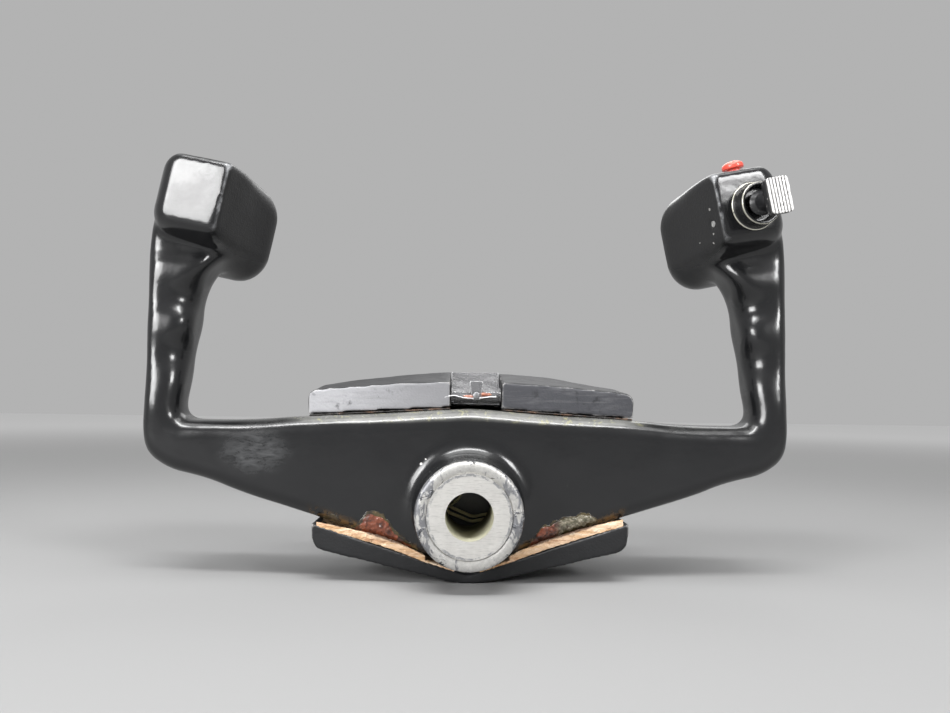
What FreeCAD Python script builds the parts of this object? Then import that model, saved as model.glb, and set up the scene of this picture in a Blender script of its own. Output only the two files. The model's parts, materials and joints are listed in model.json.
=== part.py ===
import FreeCAD, Part
import math
import os

# Aircraft control wheel of the ram's horn kind, in millimetres.
# +X is to the right and +Z up, seen from the instrument panel. +Y runs from the panel to the pilot.
# The origin is the centre of the hub's machined face, on the axis of the column bore.
# The body is one aluminium casting under a thick glossy coat: crossbar, corners, two horns, two heads, boss.
# A padded cover wraps the crossbar from the pilot's side. The right head holds a rocking switch and a button.

# Hub
BORE_R = 11.1125          # seven eighths of an inch across, for the control column tube
BORE_LENGTH = 46.0
BORE_LEAD = 0.8
SLEEVE_R = 15.0
SLEEVE_FLANGE_R = 19.6
SLEEVE_FLANGE = 2.5
BOSS_R = 25.4
BOSS_RECESS = 0.5         # the coated boss stands this far behind the machined face
BOSS_EDGE = 1.2
BOSS_FILLET = 8.0
PRESS_GAP = 0.02

# Crossbar, seen from the front
FRONT_Y = 30.0
BACK_Y = 62.0
TOP_MID_Z = 48.5
TOP_END_Z = 41.4
APEX_Z = -30.2
UNDERSIDE_SLOPE = 18.0    # degrees each way from the apex
TOP_ROUND = 8.0
UNDER_ROUND = 7.0
CORNER_INNER_R = 5.5
CORNER_OUTER_R = 14.0

# Horns and their finger grooves
HALF_WIDTH = 161.5
HORN_WIDTH = 17.3
INNER_FOOT_X = HALF_WIDTH - HORN_WIDTH
CORNER_RUN = 43.5         # the crossbar's straight part ends this far inside the half width
CROSSBAR_END_X = HALF_WIDTH - CORNER_RUN
INNER_LEAN = 0.085        # how far the inner side comes in for each mm of height
HORN_FOOT_Z = 50.0
RIDGE_LOW_Z = 61.0
RIDGE_PITCH = 26.0
RIDGE_COUNT = 3
GROOVE_FRONT = 3.2        # depth of a finger groove, seen from the side
GROOVE_INNER = 0.5        # depth of a finger groove, seen from the front
GROOVE_EDGE = 2.0         # how much softer the inner edge is in a groove
HORN_FRONT_LEAN = 0.10
HORN_BACK_Y = 57.0
HORN_BACK_LEAN = 0.20
HORN_OUTER_LEAN = 0.042
HORN_TOP_FLARE = 11.5
HORN_ROOT_STEP = 1.6      # how far the first section inside the head steps in
HORN_OUTER_ROUND = 6.5
HORN_INNER_ROUND = 9.5
HORN_BACK_ROUND = 9.5

# Heads: each has its own axes, turned outward and leaning inward
HEAD_X = HALF_WIDTH - 24.8
HEAD_Y = 25.0
HEAD_Z = 153.5
HEAD_TURN = 9.0
HEAD_LEAN = 12.5
HEAD_DEPTH = 61.0
HEAD_FACE_HALF_WIDTH = 14.5
HEAD_FACE_HALF_HEIGHT = 16.5
HEAD_OUTER = 23.0         # from the head's axis to its outer side
HEAD_TOP = 18.2
HEAD_BACK_INNER = 21.3
HEAD_BACK_DROP = 36.0

# Pocket behind the hub, its plate and its screws
POCKET_WALL = 7.5
POCKET_HALF_WIDTH = 62.0
POCKET_FLOOR_Y = 38.0
SEAT_DEPTH = 0.5          # flat machined for the plate and pad
PLATE_THICKNESS = 2.0
PLATE_LAP = 4.0
PLATE_SCREW_R = 1.6
PLATE_SCREW_HEAD_R = 3.1
PLATE_SCREW_HEAD = 1.5
PLATE_SCREW_LENGTH = 9.0
SCREW_GAP = 0.05

# Centre pad
PAD_SHIFT = 1.4           # the pad sits a little to one side of the hub
PAD_TOP_HALF_WIDTH = 83.6
PAD_LOW_HALF_WIDTH = 77.0
PAD_LIP_TOP_END_Z = 56.0
PAD_LIP_TOP_MID_Z = 62.6
PAD_CROWN_END_Z = 59.5
PAD_CROWN_MID_Z = 73.0
PAD_UNDER = 5.4           # thickness of the lower lip, in the middle
PAD_UNDER_END = 12.3      # and at its ends
PAD_BACK_Y = 86.0
UPPER_LIP_FRONT_Y = 40.0
LOWER_LIP_FRONT_Y = 28.0
PAD_GAP_TOP = 1.3
PAD_GAP_LOW = 2.4
ADHESIVE_GAP = 0.3
ADHESIVE_SETBACK = 1.6    # how far the adhesive stands in front of the upper lips
ADHESIVE_DEPTH = 15.0
ADHESIVE_LOW_DEPTH = 22.0
ADHESIVE_LOW_START = 14.5
ADHESIVE_SIDE_GAP = 1.8   # from the ends of the lips
BEAD_RISE = 2.4           # how far the bead of adhesive comes up in front of the casting's rounded edge
BEAD_START = 29.0
NOTCH_X = 3.6
NOTCH_WIDTH = 26.0
NOTCH_BACK_Y = 57.0
NOTCH_RUN = 20.0          # how far back the notch's wall slopes
NOTCH_STEP = 1.5          # the slope starts this far under the clip's shelf

# Clear clip in the notch
CLIP_THICKNESS = 1.5
CLIP_GAP = 0.3
CLIP_SHELF_Z = 58.6
CLIP_FRONT_Y = 43.0
CLIP_RUN = 10.5           # how far back the clip lies on the notch's sloping wall
TAB_WIDTH = 7.0
RIVET_R = 1.1
RIVET_HEAD_R = 2.1

# Rocking switch
SWITCH_OFFSET_U = 4.0
SWITCH_OFFSET_V = -2.2
COLLAR_FLANGE_R = 12.2
COLLAR_FLANGE = 1.1
COLLAR_R = 11.1
COLLAR_RIM_R = 10.7
COLLAR_HEIGHT = 8.4
COLLAR_CUP_R = 9.2
COLLAR_CUP_FLOOR = 3.4
COLLAR_THROAT_R = 5.2
HOUSING_R = 8.5
HOUSING_LENGTH = 22.0
HOUSING_CAVITY_R = 6.0
HOUSING_CAVITY_LENGTH = 15.0
BALL_R = 4.6
PIVOT_DEPTH = 5.0
PIVOT_PIN_R = 1.25
RUNNING_GAP = 0.05
NECK_R = 2.5
SKIRT_R = 6.4
SKIRT_HEIGHT = 6.4
CAP_WIDTH = 11.5
CAP_HEIGHT = 17.5
CAP_BACK = 16.3
CAP_THICKNESS = 7.6
CAP_RIB_COUNT = 7
CAP_GROOVE_DEPTH = 0.9
CENTRING_SPRING_R = 2.4
CENTRING_SPRING_WIRE = 0.35
TERMINAL_R = 0.7
TERMINAL_STEP = 3.6
TERMINAL_ROOT = 1.5       # how far a pin reaches into the housing
TERMINAL_LENGTH = 4.5
SET_SCREW_R = 1.6
SET_SCREW_U_LENGTH = 5.0
SET_SCREW_RECESS = 0.8
SET_SCREW_DEPTH = 7.8
SET_SCREW_V = -6.4

# Button on top of the right head
BUTTON_U = 6.4
BUTTON_DEPTH = 15.0
BUTTON_BODY_R = 5.0
BUTTON_BODY_LENGTH = 9.4
BUTTON_CAVITY_R = 3.6
BUTTON_STEM_R = 3.3
BUTTON_CAP_R = 5.5
BUTTON_CAP_GAP = 2.6      # under the cap, above the head, at rest
BUTTON_CAP_SIDE = 1.7
BUTTON_CAP_DOME = 2.6
BEZEL_R = 6.6
BEZEL_HEIGHT = 1.0
BUTTON_SPRING_R = 2.5
BUTTON_SPRING_WIRE = 0.3

# Wiring
WIRE_R = 0.8
WIRE_STEP = 1.9
CHANNEL_R = 4.2
CHAMBER_R = 12.5
CHAMBER_START = 25.0
CHAMBER_LENGTH = 18.0
CHANNEL_FOOT = (HALF_WIDTH - 9.2, 46.5, 33.0)
CHANNEL_MOUTH_Z = 21.0
GROMMET_LIP = 1.4
WIRE_BEND = 6.0
SOLDER_GAP = 0.2          # from a pin's end to its wire
MOUTH_RUN = 7.0           # how far the wires run straight on into the pocket

V = FreeCAD.Vector
AXIS_X = V(1, 0, 0)
AXIS_Y = V(0, 1, 0)
AXIS_Z = V(0, 0, 1)


# Outlines of the crossbar
def underside_z(x):
    """Height of the crossbar's underside at x."""
    return APEX_Z + abs(x) * math.tan(math.radians(UNDERSIDE_SLOPE))


def topside_z(x):
    """Height of the crossbar's top at x."""
    share = abs(x) / CROSSBAR_END_X
    return TOP_MID_Z - (TOP_MID_Z - TOP_END_Z) * share


def inner_x(z):
    """Distance of a horn's inner side from the middle at height z."""
    return INNER_FOOT_X - INNER_LEAN * (z - HORN_FOOT_Z)


# General shapes
class Plane:
    """A point and two directions that a flat outline is drawn in."""

    def __init__(self, origin, across, up):
        self.origin = origin
        self.across = across
        self.up = up

    def at(self, a, b):
        return self.origin + self.across * a + self.up * b


def rounded_outline(plane, corners):
    """Closed wire through (a, b, t) corners. Each is rounded by an arc that starts t before the corner."""
    points = [plane.at(a, b) for a, b, _ in corners]
    count = len(corners)
    starts = []
    middles = []
    ends = []
    for i, point in enumerate(points):
        before = (point - points[i - 1]).normalize()
        after = (points[(i + 1) % count] - point).normalize()
        t = corners[i][2]
        half_turn = before.getAngle(after) / 2
        radius = t / math.tan(half_turn)
        inward = (after - before).normalize()
        starts.append(point - before * t)
        ends.append(point + after * t)
        middles.append(point + inward * (radius / math.cos(half_turn) - radius))
    edges = []
    for i in range(count):
        edges.append(Part.Arc(starts[i], middles[i], ends[i]).toShape())
        edges.append(Part.LineSegment(ends[i], starts[(i + 1) % count]).toShape())
    return Part.Wire(edges)


def polygon_prism(plane, corners, way):
    """Straight-sided block from (a, b) corners, pushed along way."""
    points = [plane.at(a, b) for a, b in corners]
    return Part.Face(Part.makePolygon(points + points[:1])).extrude(way)


def sheet_prism(plane, line, thickness, way):
    """Bent sheet: a line of (a, b) points thickened to both sides, pushed along way."""
    left = []
    right = []
    for i, (a, b) in enumerate(line):
        before = line[max(i - 1, 0)]
        after = line[min(i + 1, len(line) - 1)]
        normals = []
        for p, q in ((before, (a, b)), ((a, b), after)):
            length = math.hypot(q[0] - p[0], q[1] - p[1])
            if length > 0:
                normals.append((-(q[1] - p[1]) / length, (q[0] - p[0]) / length))
        na = sum(n[0] for n in normals) / len(normals)
        nb = sum(n[1] for n in normals) / len(normals)
        reach = thickness / 2 / (na * na + nb * nb)
        left.append((a + na * reach, b + nb * reach))
        right.append((a - na * reach, b - nb * reach))
    return polygon_prism(plane, left + right[::-1], way)


def turned(profile, base, axis):
    """Solid of revolution. The profile holds (radius, height) points, with heights along axis from base."""
    side = axis.cross(AXIS_Z if abs(axis.z) < 0.7 else AXIS_X).normalize()
    points = [base + side * r + axis * h for r, h in profile]
    face = Part.Face(Part.makePolygon(points + points[:1]))
    return face.revolve(base, axis, 360)


def rod(radius, start, end):
    """Cylinder between two points."""
    way = end - start
    return Part.makeCylinder(radius, way.Length, start, way)


def smooth_loft(wires):
    return Part.makeLoft(wires, True, False, False, 2)


def mirrored(shape):
    return shape.mirror(V(0, 0, 0), AXIS_X)


def helix_spring(mean_radius, wire_radius, length, turns, base, axis):
    """Compression spring along axis. Its wire has eight sides."""
    coil = Part.makeHelix(length / turns, length, mean_radius)
    corners = []
    for i in range(8):
        angle = math.pi / 4 * (i + 0.5)
        corners.append(V(mean_radius + wire_radius * math.cos(angle), 0, wire_radius * math.sin(angle)))
    ring = Part.makePolygon(corners + corners[:1])
    spring = Part.Wire(coil.Edges).makePipeShell([ring], True, True)
    spring.Placement = FreeCAD.Placement(base, FreeCAD.Rotation(AXIS_Z, axis))
    return spring


def bent_wire(points, radius, bend):
    """Round wire along straight runs that are joined by tangent arcs."""
    edges = []
    last = points[0]
    for i in range(1, len(points) - 1):
        corner = points[i]
        before = (corner - points[i - 1]).normalize()
        after = (points[i + 1] - corner).normalize()
        half_turn = before.getAngle(after) / 2
        room = 0.45 * min((corner - points[i - 1]).Length, (points[i + 1] - corner).Length)
        curve = min(bend, room / math.tan(half_turn))
        t = curve * math.tan(half_turn)
        inward = (after - before).normalize()
        start = corner - before * t
        end = corner + after * t
        middle = corner + inward * (curve / math.cos(half_turn) - curve)
        edges.append(Part.LineSegment(last, start).toShape())
        edges.append(Part.Arc(start, middle, end).toShape())
        last = end
    edges.append(Part.LineSegment(last, points[-1]).toShape())
    way = points[1] - points[0]
    ring = Part.Wire(Part.Circle(points[0], way, radius).toShape())
    return Part.Wire(edges).makePipeShell([ring], True, True)


# The right head's own axes: back from its face, outward across it, and up it
TURN = math.radians(HEAD_TURN)
LEAN = math.radians(HEAD_LEAN)
HEAD_BACKWARD = V(-math.sin(TURN), math.cos(TURN), 0)
HEAD_LEVEL = V(math.cos(TURN), math.sin(TURN), 0)
HEAD_OUTWARD = HEAD_LEVEL * math.cos(LEAN) + AXIS_Z * math.sin(LEAN)
HEAD_UP = AXIS_Z * math.cos(LEAN) - HEAD_LEVEL * math.sin(LEAN)
HEAD_CENTRE = V(HEAD_X, HEAD_Y, HEAD_Z)


def in_head(u, v, depth):
    """Point of the right head: u outward, v up, depth back from its front face."""
    return HEAD_CENTRE + HEAD_OUTWARD * u + HEAD_UP * v + HEAD_BACKWARD * depth


def on_switch(height):
    """Point on the switch's axis, height in front of the head's face."""
    return in_head(SWITCH_OFFSET_U, SWITCH_OFFSET_V, -height)


def on_button(height):
    """Point on the button's axis, height above the head's top."""
    return in_head(BUTTON_U, HEAD_TOP + height, BUTTON_DEPTH)


# The casting
def frame_section(inner, outer, fronts, back_y, inner_round, outer_round, back_round):
    """Section across the crossbar or horn, from its inner to its outer point in the front view."""
    inner_front, outer_front = fronts
    inner = V(inner[0], 0, inner[1])
    outer = V(outer[0], 0, outer[1])
    reach = (inner - outer).Length
    plane = Plane(outer, (inner - outer).normalize(), AXIS_Y)
    return rounded_outline(
        plane,
        [
            (0, outer_front, outer_round),
            (reach, inner_front, inner_round),
            (reach, back_y, back_round),
            (0, back_y, back_round),
        ],
    )


def crossbar_sections():
    sections = []
    for share in (0.0, 0.22, 0.52, 0.8, 1.0):
        x = share * CROSSBAR_END_X
        sections.append(
            frame_section(
                (x, topside_z(x)),
                (x, underside_z(x)),
                (FRONT_Y, FRONT_Y),
                BACK_Y,
                TOP_ROUND,
                UNDER_ROUND,
                UNDER_ROUND,
            )
        )
    return sections


def corner_sections():
    """The lower corner: sections swing about a centre above the crossbar's end, from upright to level."""
    centre_x = INNER_FOOT_X - CORNER_INNER_R
    centre_z = TOP_END_Z + CORNER_INNER_R
    cut = CORNER_OUTER_R * (1 / math.cos(math.radians(45 - UNDERSIDE_SLOPE / 2)) - 1)
    slope = math.tan(math.radians(UNDERSIDE_SLOPE))
    sections = []
    for step in range(5):
        share = step / 4
        angle = math.pi / 2 * share
        way_x = math.sin(angle)
        way_z = -math.cos(angle)
        to_underside = (centre_z - underside_z(centre_x)) / (slope * way_x - way_z)
        to_side = (HALF_WIDTH - centre_x) / max(way_x, 0.01)
        reach = min(to_underside, to_side)
        if step == 2:
            reach -= cut
        inner_round = TOP_ROUND + (HORN_INNER_ROUND - TOP_ROUND) * share
        outer_round = UNDER_ROUND + (HORN_OUTER_ROUND - UNDER_ROUND) * share
        back_round = UNDER_ROUND + (HORN_BACK_ROUND - UNDER_ROUND) * share
        sections.append(
            frame_section(
                (centre_x + CORNER_INNER_R * way_x, centre_z + CORNER_INNER_R * way_z),
                (centre_x + reach * way_x, centre_z + reach * way_z),
                (FRONT_Y, FRONT_Y),
                BACK_Y + (HORN_BACK_Y - BACK_Y) * share,
                inner_round,
                outer_round,
                back_round,
            )
        )
    return sections


def horn_sections():
    """Level sections up the horn: ridges and grooves in turn, then the root inside the head."""
    sections = []
    for step in range(2 * RIDGE_COUNT + 2):
        z = RIDGE_LOW_Z + RIDGE_PITCH * step / 2
        rise = z - HORN_FOOT_Z
        over = max(0, step - 2 * RIDGE_COUNT + 1)
        groove = step % 2 if step < 2 * RIDGE_COUNT else 0
        flare = HORN_TOP_FLARE * min(max(0, step - 2 * RIDGE_COUNT + 3), 2) ** 3 / 8
        outer = HALF_WIDTH + HORN_OUTER_LEAN * rise - HORN_ROOT_STEP * over * over
        front = FRONT_Y + 1.0 + HORN_FRONT_LEAN * rise - HORN_ROOT_STEP * over
        sections.append(
            frame_section(
                (inner_x(z) + GROOVE_INNER * groove - flare, z),
                (outer, z),
                (front + GROOVE_FRONT * groove, front),
                HORN_BACK_Y + HORN_BACK_LEAN * rise,
                HORN_INNER_ROUND + GROOVE_EDGE * groove,
                HORN_OUTER_ROUND,
                HORN_BACK_ROUND,
            )
        )
    return sections


def head_section(depth, inner, outer, low, high, inner_round, outer_round, low_round):
    """Section across the head at a depth behind its face."""
    plane = Plane(in_head(0, 0, depth), HEAD_OUTWARD, HEAD_UP)
    return rounded_outline(
        plane,
        [
            (-inner, -low, low_round),
            (outer, -low, outer_round),
            (outer, high, outer_round),
            (-inner, high, inner_round),
        ],
    )


def head():
    """One head: a small flat face in front, swelling to a large thumb rest on the pilot's side."""
    w = HEAD_FACE_HALF_WIDTH
    h = HEAD_FACE_HALF_HEIGHT
    back = HEAD_BACK_INNER
    drop = HEAD_BACK_DROP

    def straight(share):
        """Outer side that runs straight back although the face is turned outward."""
        return HEAD_OUTER + share * HEAD_DEPTH * math.tan(TURN)

    def section(share, inner, off_outer, low, top, rounds):
        return head_section(share * HEAD_DEPTH, inner, straight(share) - off_outer, low, top, *rounds)

    sections = [
        section(0, w - 0.6, HEAD_OUTER - w + 0.2, h - 0.4, h - 0.8, (2.6, 4.5, 3.0)),
        section(0.035, w + 0.3, 4.2, h + 1.6, HEAD_TOP - 0.5, (3.0, 7.5, 4.0)),
        section(0.12, w + 0.7, 0.9, h + 4.5, HEAD_TOP, (3.2, 9.5, 5.0)),
        section(0.30, w + 1.8, 0, h + 8.0, HEAD_TOP, (5.0, 10.5, 8.0)),
        section(0.60, w + 3.6, 0.5, drop - 4.5, HEAD_TOP - 0.4, (10.0, 12.0, 13.0)),
        section(0.86, back, 3.0, drop, HEAD_TOP - 2.0, (15.0, 13.0, 16.0)),
        section(0.96, back - 2.0, 7.0, drop - 2.0, HEAD_TOP - 5.0, (14.0, 12.0, 15.0)),
        section(1, back - 6.5, 13.0, drop - 6.5, HEAD_TOP - 10.0, (11.0, 9.0, 12.0)),
    ]
    return smooth_loft(sections)


def crossbar_prism(lift, y0, y1, reach):
    """Block with the crossbar's front outline, grown by lift above and below."""
    top = lift[0]
    low = lift[1]
    corners = [
        (-reach, underside_z(reach) - low),
        (0, APEX_Z - low),
        (reach, underside_z(reach) - low),
        (reach, topside_z(reach) + top),
        (0, TOP_MID_Z + top),
        (-reach, topside_z(reach) + top),
    ]
    plane = Plane(V(0, y0, 0), AXIS_X, AXIS_Z)
    return polygon_prism(plane, corners, AXIS_Y * (y1 - y0))


def boss():
    """Round boss with a soft foot, which is kept inside the crossbar's outline."""
    root_y = FRONT_Y + 2.0
    barrel = turned(
        [
            (0, BOSS_RECESS),
            (BOSS_R - BOSS_EDGE, BOSS_RECESS),
            (BOSS_R, BOSS_RECESS + BOSS_EDGE),
            (BOSS_R, root_y),
            (0, root_y),
        ],
        V(0, 0, 0),
        AXIS_Y,
    )
    start = FRONT_Y - BOSS_FILLET
    foot_r = BOSS_R + BOSS_FILLET
    half_root = math.sqrt(0.5)
    foot_line = Part.Wire(
        [
            Part.LineSegment(V(0, start, 0), V(BOSS_R, start, 0)).toShape(),
            Part.Arc(
                V(BOSS_R, start, 0),
                V(BOSS_R + BOSS_FILLET * (1 - half_root), start + BOSS_FILLET * half_root, 0),
                V(foot_r, FRONT_Y, 0),
            ).toShape(),
            Part.LineSegment(V(foot_r, FRONT_Y, 0), V(foot_r, root_y, 0)).toShape(),
            Part.LineSegment(V(foot_r, root_y, 0), V(0, root_y, 0)).toShape(),
            Part.LineSegment(V(0, root_y, 0), V(0, start, 0)).toShape(),
        ]
    )
    foot = Part.Face(foot_line).revolve(V(0, 0, 0), AXIS_Y, 360)
    inside = crossbar_prism((-0.4, -0.4), 0, FRONT_Y + 10, HALF_WIDTH / 2)
    return barrel.fuse(foot.common(inside))


def pocket():
    """Open pocket behind the hub, with a round web left around the sleeve."""
    wall = POCKET_WALL
    half = POCKET_HALF_WIDTH
    corners = [
        (-half, underside_z(half) + wall, 4.0),
        (0, APEX_Z + wall + 1.0, 6.0),
        (half, underside_z(half) + wall, 4.0),
        (half, topside_z(half) - wall, 4.0),
        (-half, topside_z(half) - wall, 4.0),
    ]
    plane = Plane(V(0, POCKET_FLOOR_Y, 0), AXIS_X, AXIS_Z)
    hollow = Part.Face(rounded_outline(plane, corners)).extrude(AXIS_Y * (BACK_Y + 5 - POCKET_FLOOR_Y))
    web_end = BORE_LENGTH - 2.0
    web = Part.makeCylinder(SLEEVE_R + 3.5, web_end - POCKET_FLOOR_Y + 1, V(0, POCKET_FLOOR_Y - 1, 0), AXIS_Y)
    return hollow.cut(web)


def plate_screw_places():
    """Where the plate's screws go: (x, z) of each."""
    wall = POCKET_WALL / 2
    x = POCKET_HALF_WIDTH - 10.0
    return [(side * x, z) for side in (-1, 1) for z in (topside_z(x) - wall, underside_z(x) + wall)]


def channel_points():
    """The wire channel: from the switch's chamber down the horn, then along the crossbar to the pocket."""
    side = (CHAMBER_R - 1) * math.sqrt(0.5)
    top = in_head(SWITCH_OFFSET_U + side, SWITCH_OFFSET_V - side, CHAMBER_START + CHAMBER_LENGTH / 2)
    foot = V(*CHANNEL_FOOT)
    mouth = V(POCKET_HALF_WIDTH, CHANNEL_FOOT[1], CHANNEL_MOUTH_Z)
    return top, foot, mouth


def casting_cuts():
    """Every hole and hollow of the casting."""
    top, foot, mouth = channel_points()
    far = BACK_Y + 10
    cuts = [
        pocket(),
        Part.makeCylinder(SLEEVE_R + PRESS_GAP, far, V(0, -1, 0), AXIS_Y).common(
            Part.makeBox(80, BORE_LENGTH + 5, 80, V(-40, -1, -40))
        ),
        Part.makeCylinder(SLEEVE_FLANGE_R + PRESS_GAP, SLEEVE_FLANGE + 1 + PRESS_GAP, V(0, -1, 0), AXIS_Y),
        Part.makeBox(
            2 * PAD_TOP_HALF_WIDTH + 4,
            20,
            160,
            V(PAD_SHIFT - PAD_TOP_HALF_WIDTH - 2, BACK_Y - SEAT_DEPTH, -60),
        ),
        rod(HOUSING_R + PRESS_GAP, on_switch(2), on_switch(-CHAMBER_START - 1)),
        rod(CHAMBER_R, on_switch(-CHAMBER_START), on_switch(-CHAMBER_START - CHAMBER_LENGTH)),
        rod(BUTTON_BODY_R + PRESS_GAP, on_button(6), on_button(-BUTTON_BODY_LENGTH)),
        rod(CHANNEL_R, top, foot),
        rod(CHANNEL_R, foot, mouth + (mouth - foot).normalize() * 3),
        Part.makeSphere(CHANNEL_R, foot),
        button_channel(),
        set_screw_rod(SET_SCREW_R + PRESS_GAP, 4.0, 0.0),
    ]
    for x, z in plate_screw_places():
        deep = V(x, BACK_Y - PLATE_SCREW_LENGTH, z)
        cuts.append(Part.makeCylinder(PLATE_SCREW_R + PRESS_GAP, PLATE_SCREW_LENGTH + 1, deep, AXIS_Y))
    return cuts


def button_wire_height():
    """Height in the head where the wire leaves the button's body, near its foot."""
    return HEAD_TOP - BUTTON_BODY_LENGTH + WIRE_R + 0.3


def button_channel():
    """Small wire channel from the button's hole back to the chamber."""
    start = in_head(BUTTON_U, button_wire_height(), BUTTON_DEPTH + BUTTON_BODY_R - 1)
    end = in_head(BUTTON_U, button_wire_height(), CHAMBER_START + 8)
    return rod(WIRE_R + 0.9, start, end)


def set_screw_rod(radius, out, short):
    """Bar on the set screw's axis, from beyond the head's inner side to the switch housing."""
    below = abs(SET_SCREW_V - SWITCH_OFFSET_V) - SET_SCREW_R
    touch = SWITCH_OFFSET_U - math.sqrt(HOUSING_R * HOUSING_R - below * below)
    outside = -HEAD_FACE_HALF_WIDTH - 1.4
    return rod(
        radius,
        in_head(outside - out, SET_SCREW_V, SET_SCREW_DEPTH),
        in_head(touch - short, SET_SCREW_V, SET_SCREW_DEPTH),
    )


def wheel_casting():
    frame = smooth_loft(crossbar_sections() + corner_sections() + horn_sections())
    right_head = head()
    body = frame.fuse([mirrored(frame), right_head, mirrored(right_head), boss()])
    body = body.cut(Part.makeCompound(casting_cuts()))
    return body.removeSplitter()


# Fixed pieces at the hub
def hub_sleeve():
    """Machined aluminium sleeve with a flange, pressed into the boss."""
    return turned(
        [
            (BORE_R, 0),
            (SLEEVE_FLANGE_R, 0),
            (SLEEVE_FLANGE_R, SLEEVE_FLANGE),
            (SLEEVE_R, SLEEVE_FLANGE),
            (SLEEVE_R, BORE_LENGTH),
            (BORE_R + BORE_LEAD, BORE_LENGTH),
            (BORE_R, BORE_LENGTH - BORE_LEAD),
        ],
        V(0, 0, 0),
        AXIS_Y,
    )


def plate_outline(lap, plane):
    half = POCKET_HALF_WIDTH + lap
    wall = POCKET_WALL - lap
    corners = [
        (-half, underside_z(half) + wall, 5.0),
        (0, APEX_Z + wall, 6.0),
        (half, underside_z(half) + wall, 5.0),
        (half, topside_z(half) - wall, 5.0),
        (0, TOP_MID_Z - wall, 10.0),
        (-half, topside_z(half) - wall, 5.0),
    ]
    return Part.Face(rounded_outline(plane, corners))


def pad_backing_plate():
    """Sheet plate that closes the pocket and carries the pad."""
    plane = Plane(V(0, BACK_Y - SEAT_DEPTH, 0), AXIS_X, AXIS_Z)
    plate = plate_outline(PLATE_LAP, plane).extrude(AXIS_Y * PLATE_THICKNESS)
    for x, z in plate_screw_places():
        plate = plate.cut(Part.makeCylinder(PLATE_SCREW_R + SCREW_GAP, 20, V(x, BACK_Y - 10, z), AXIS_Y))
    return plate


def backing_plate_screws():
    """Pan-head screws with a cross slot, all alike."""
    seat = BACK_Y - SEAT_DEPTH + PLATE_THICKNESS
    screws = []
    for x, z in plate_screw_places():
        length = PLATE_SCREW_LENGTH + PLATE_THICKNESS - 1
        shank = Part.makeCylinder(PLATE_SCREW_R, length, V(x, seat, z), -AXIS_Y)
        cap = Part.makeCylinder(PLATE_SCREW_HEAD_R, PLATE_SCREW_HEAD, V(x, seat, z), AXIS_Y)
        cap = cap.makeFillet(0.5, [cap.Edges[0]])
        slot = Part.makeBox(3.6, 1.0, 0.6, V(x - 1.8, seat + PLATE_SCREW_HEAD - 0.8, z - 0.3))
        cross = Part.makeBox(0.6, 1.0, 3.6, V(x - 0.3, seat + PLATE_SCREW_HEAD - 0.8, z - 1.8))
        screws.append(shank.fuse(cap).cut(slot.fuse(cross)))
    return Part.makeCompound(screws)


# Centre pad and what is on it
def pad_section(y, top_end, top_mid, inset):
    plane = Plane(V(PAD_SHIFT, y, 0), AXIS_X, AXIS_Z)
    top = PAD_TOP_HALF_WIDTH - inset
    low = PAD_LOW_HALF_WIDTH - inset
    bottom = underside_z(low) - PAD_GAP_LOW - PAD_UNDER_END + inset
    corner = 5.0
    return rounded_outline(
        plane,
        [
            (-low, bottom, corner),
            (0, APEX_Z - PAD_GAP_LOW - PAD_UNDER + inset, 15.0),
            (low, bottom, corner),
            (top, top_end - inset, corner),
            (0, top_mid - inset, 60.0),
            (-top, top_end - inset, corner),
        ],
    )


def center_pad():
    """Padded cover: a thick shield on the pilot's side with lips over and under the crossbar."""
    rise = PAD_BACK_Y - LOWER_LIP_FRONT_Y
    end_low, end_high = PAD_LIP_TOP_END_Z, PAD_CROWN_END_Z
    mid_low, mid_high = PAD_LIP_TOP_MID_Z, PAD_CROWN_MID_Z
    sections = []
    for share, inset in ((0.0, 0.0), (0.3, 0.0), (0.6, 0.0), (0.82, 0.3), (0.93, 2.5), (1.0, 8.0)):
        grow = min(share / 0.82, 1.0)
        sections.append(
            pad_section(
                LOWER_LIP_FRONT_Y + share * rise,
                end_low + (end_high - end_low) * grow,
                mid_low + (mid_high - mid_low) * grow,
                inset,
            )
        )
    pad = smooth_loft(sections)
    seat_y = BACK_Y - SEAT_DEPTH
    pad = pad.cut(crossbar_prism((PAD_GAP_TOP, PAD_GAP_LOW), 0, seat_y, HALF_WIDTH))
    pad = pad.cut(Part.makeBox(400, UPPER_LIP_FRONT_Y, 200, V(-200, 0, 0)))
    plane = Plane(V(0, seat_y - 1, 0), AXIS_X, AXIS_Z)
    pad = pad.cut(plate_outline(PLATE_LAP + 0.3, plane).extrude(AXIS_Y * (PLATE_THICKNESS + 1)))
    for x, z in plate_screw_places():
        room = Part.makeCylinder(PLATE_SCREW_HEAD_R + 0.4, PLATE_SCREW_HEAD + 3.4, V(x, seat_y, z), AXIS_Y)
        pad = pad.cut(room)
    pad = pad.cut(notch_room())
    return max(pad.Solids, key=lambda s: s.Volume)


def notch_slope():
    """Rise for each mm back of the notch's sloping wall."""
    return (PAD_CROWN_MID_Z + NOTCH_STEP - CLIP_SHELF_Z + NOTCH_STEP) / NOTCH_RUN


def notch_room():
    """The gap between the upper lips, with a sloping back wall."""
    floor = TOP_MID_Z - 5
    top = PAD_CROWN_MID_Z + NOTCH_STEP
    front = UPPER_LIP_FRONT_Y - 15
    plane = Plane(V(NOTCH_X - NOTCH_WIDTH / 2, 0, 0), AXIS_Y, AXIS_Z)
    corners = [
        (front, floor),
        (NOTCH_BACK_Y, floor),
        (NOTCH_BACK_Y, CLIP_SHELF_Z - NOTCH_STEP),
        (NOTCH_BACK_Y + NOTCH_RUN, top),
        (NOTCH_BACK_Y + NOTCH_RUN, top + 20),
        (front, top + 20),
    ]
    return polygon_prism(plane, corners, AXIS_X * NOTCH_WIDTH)


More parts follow.
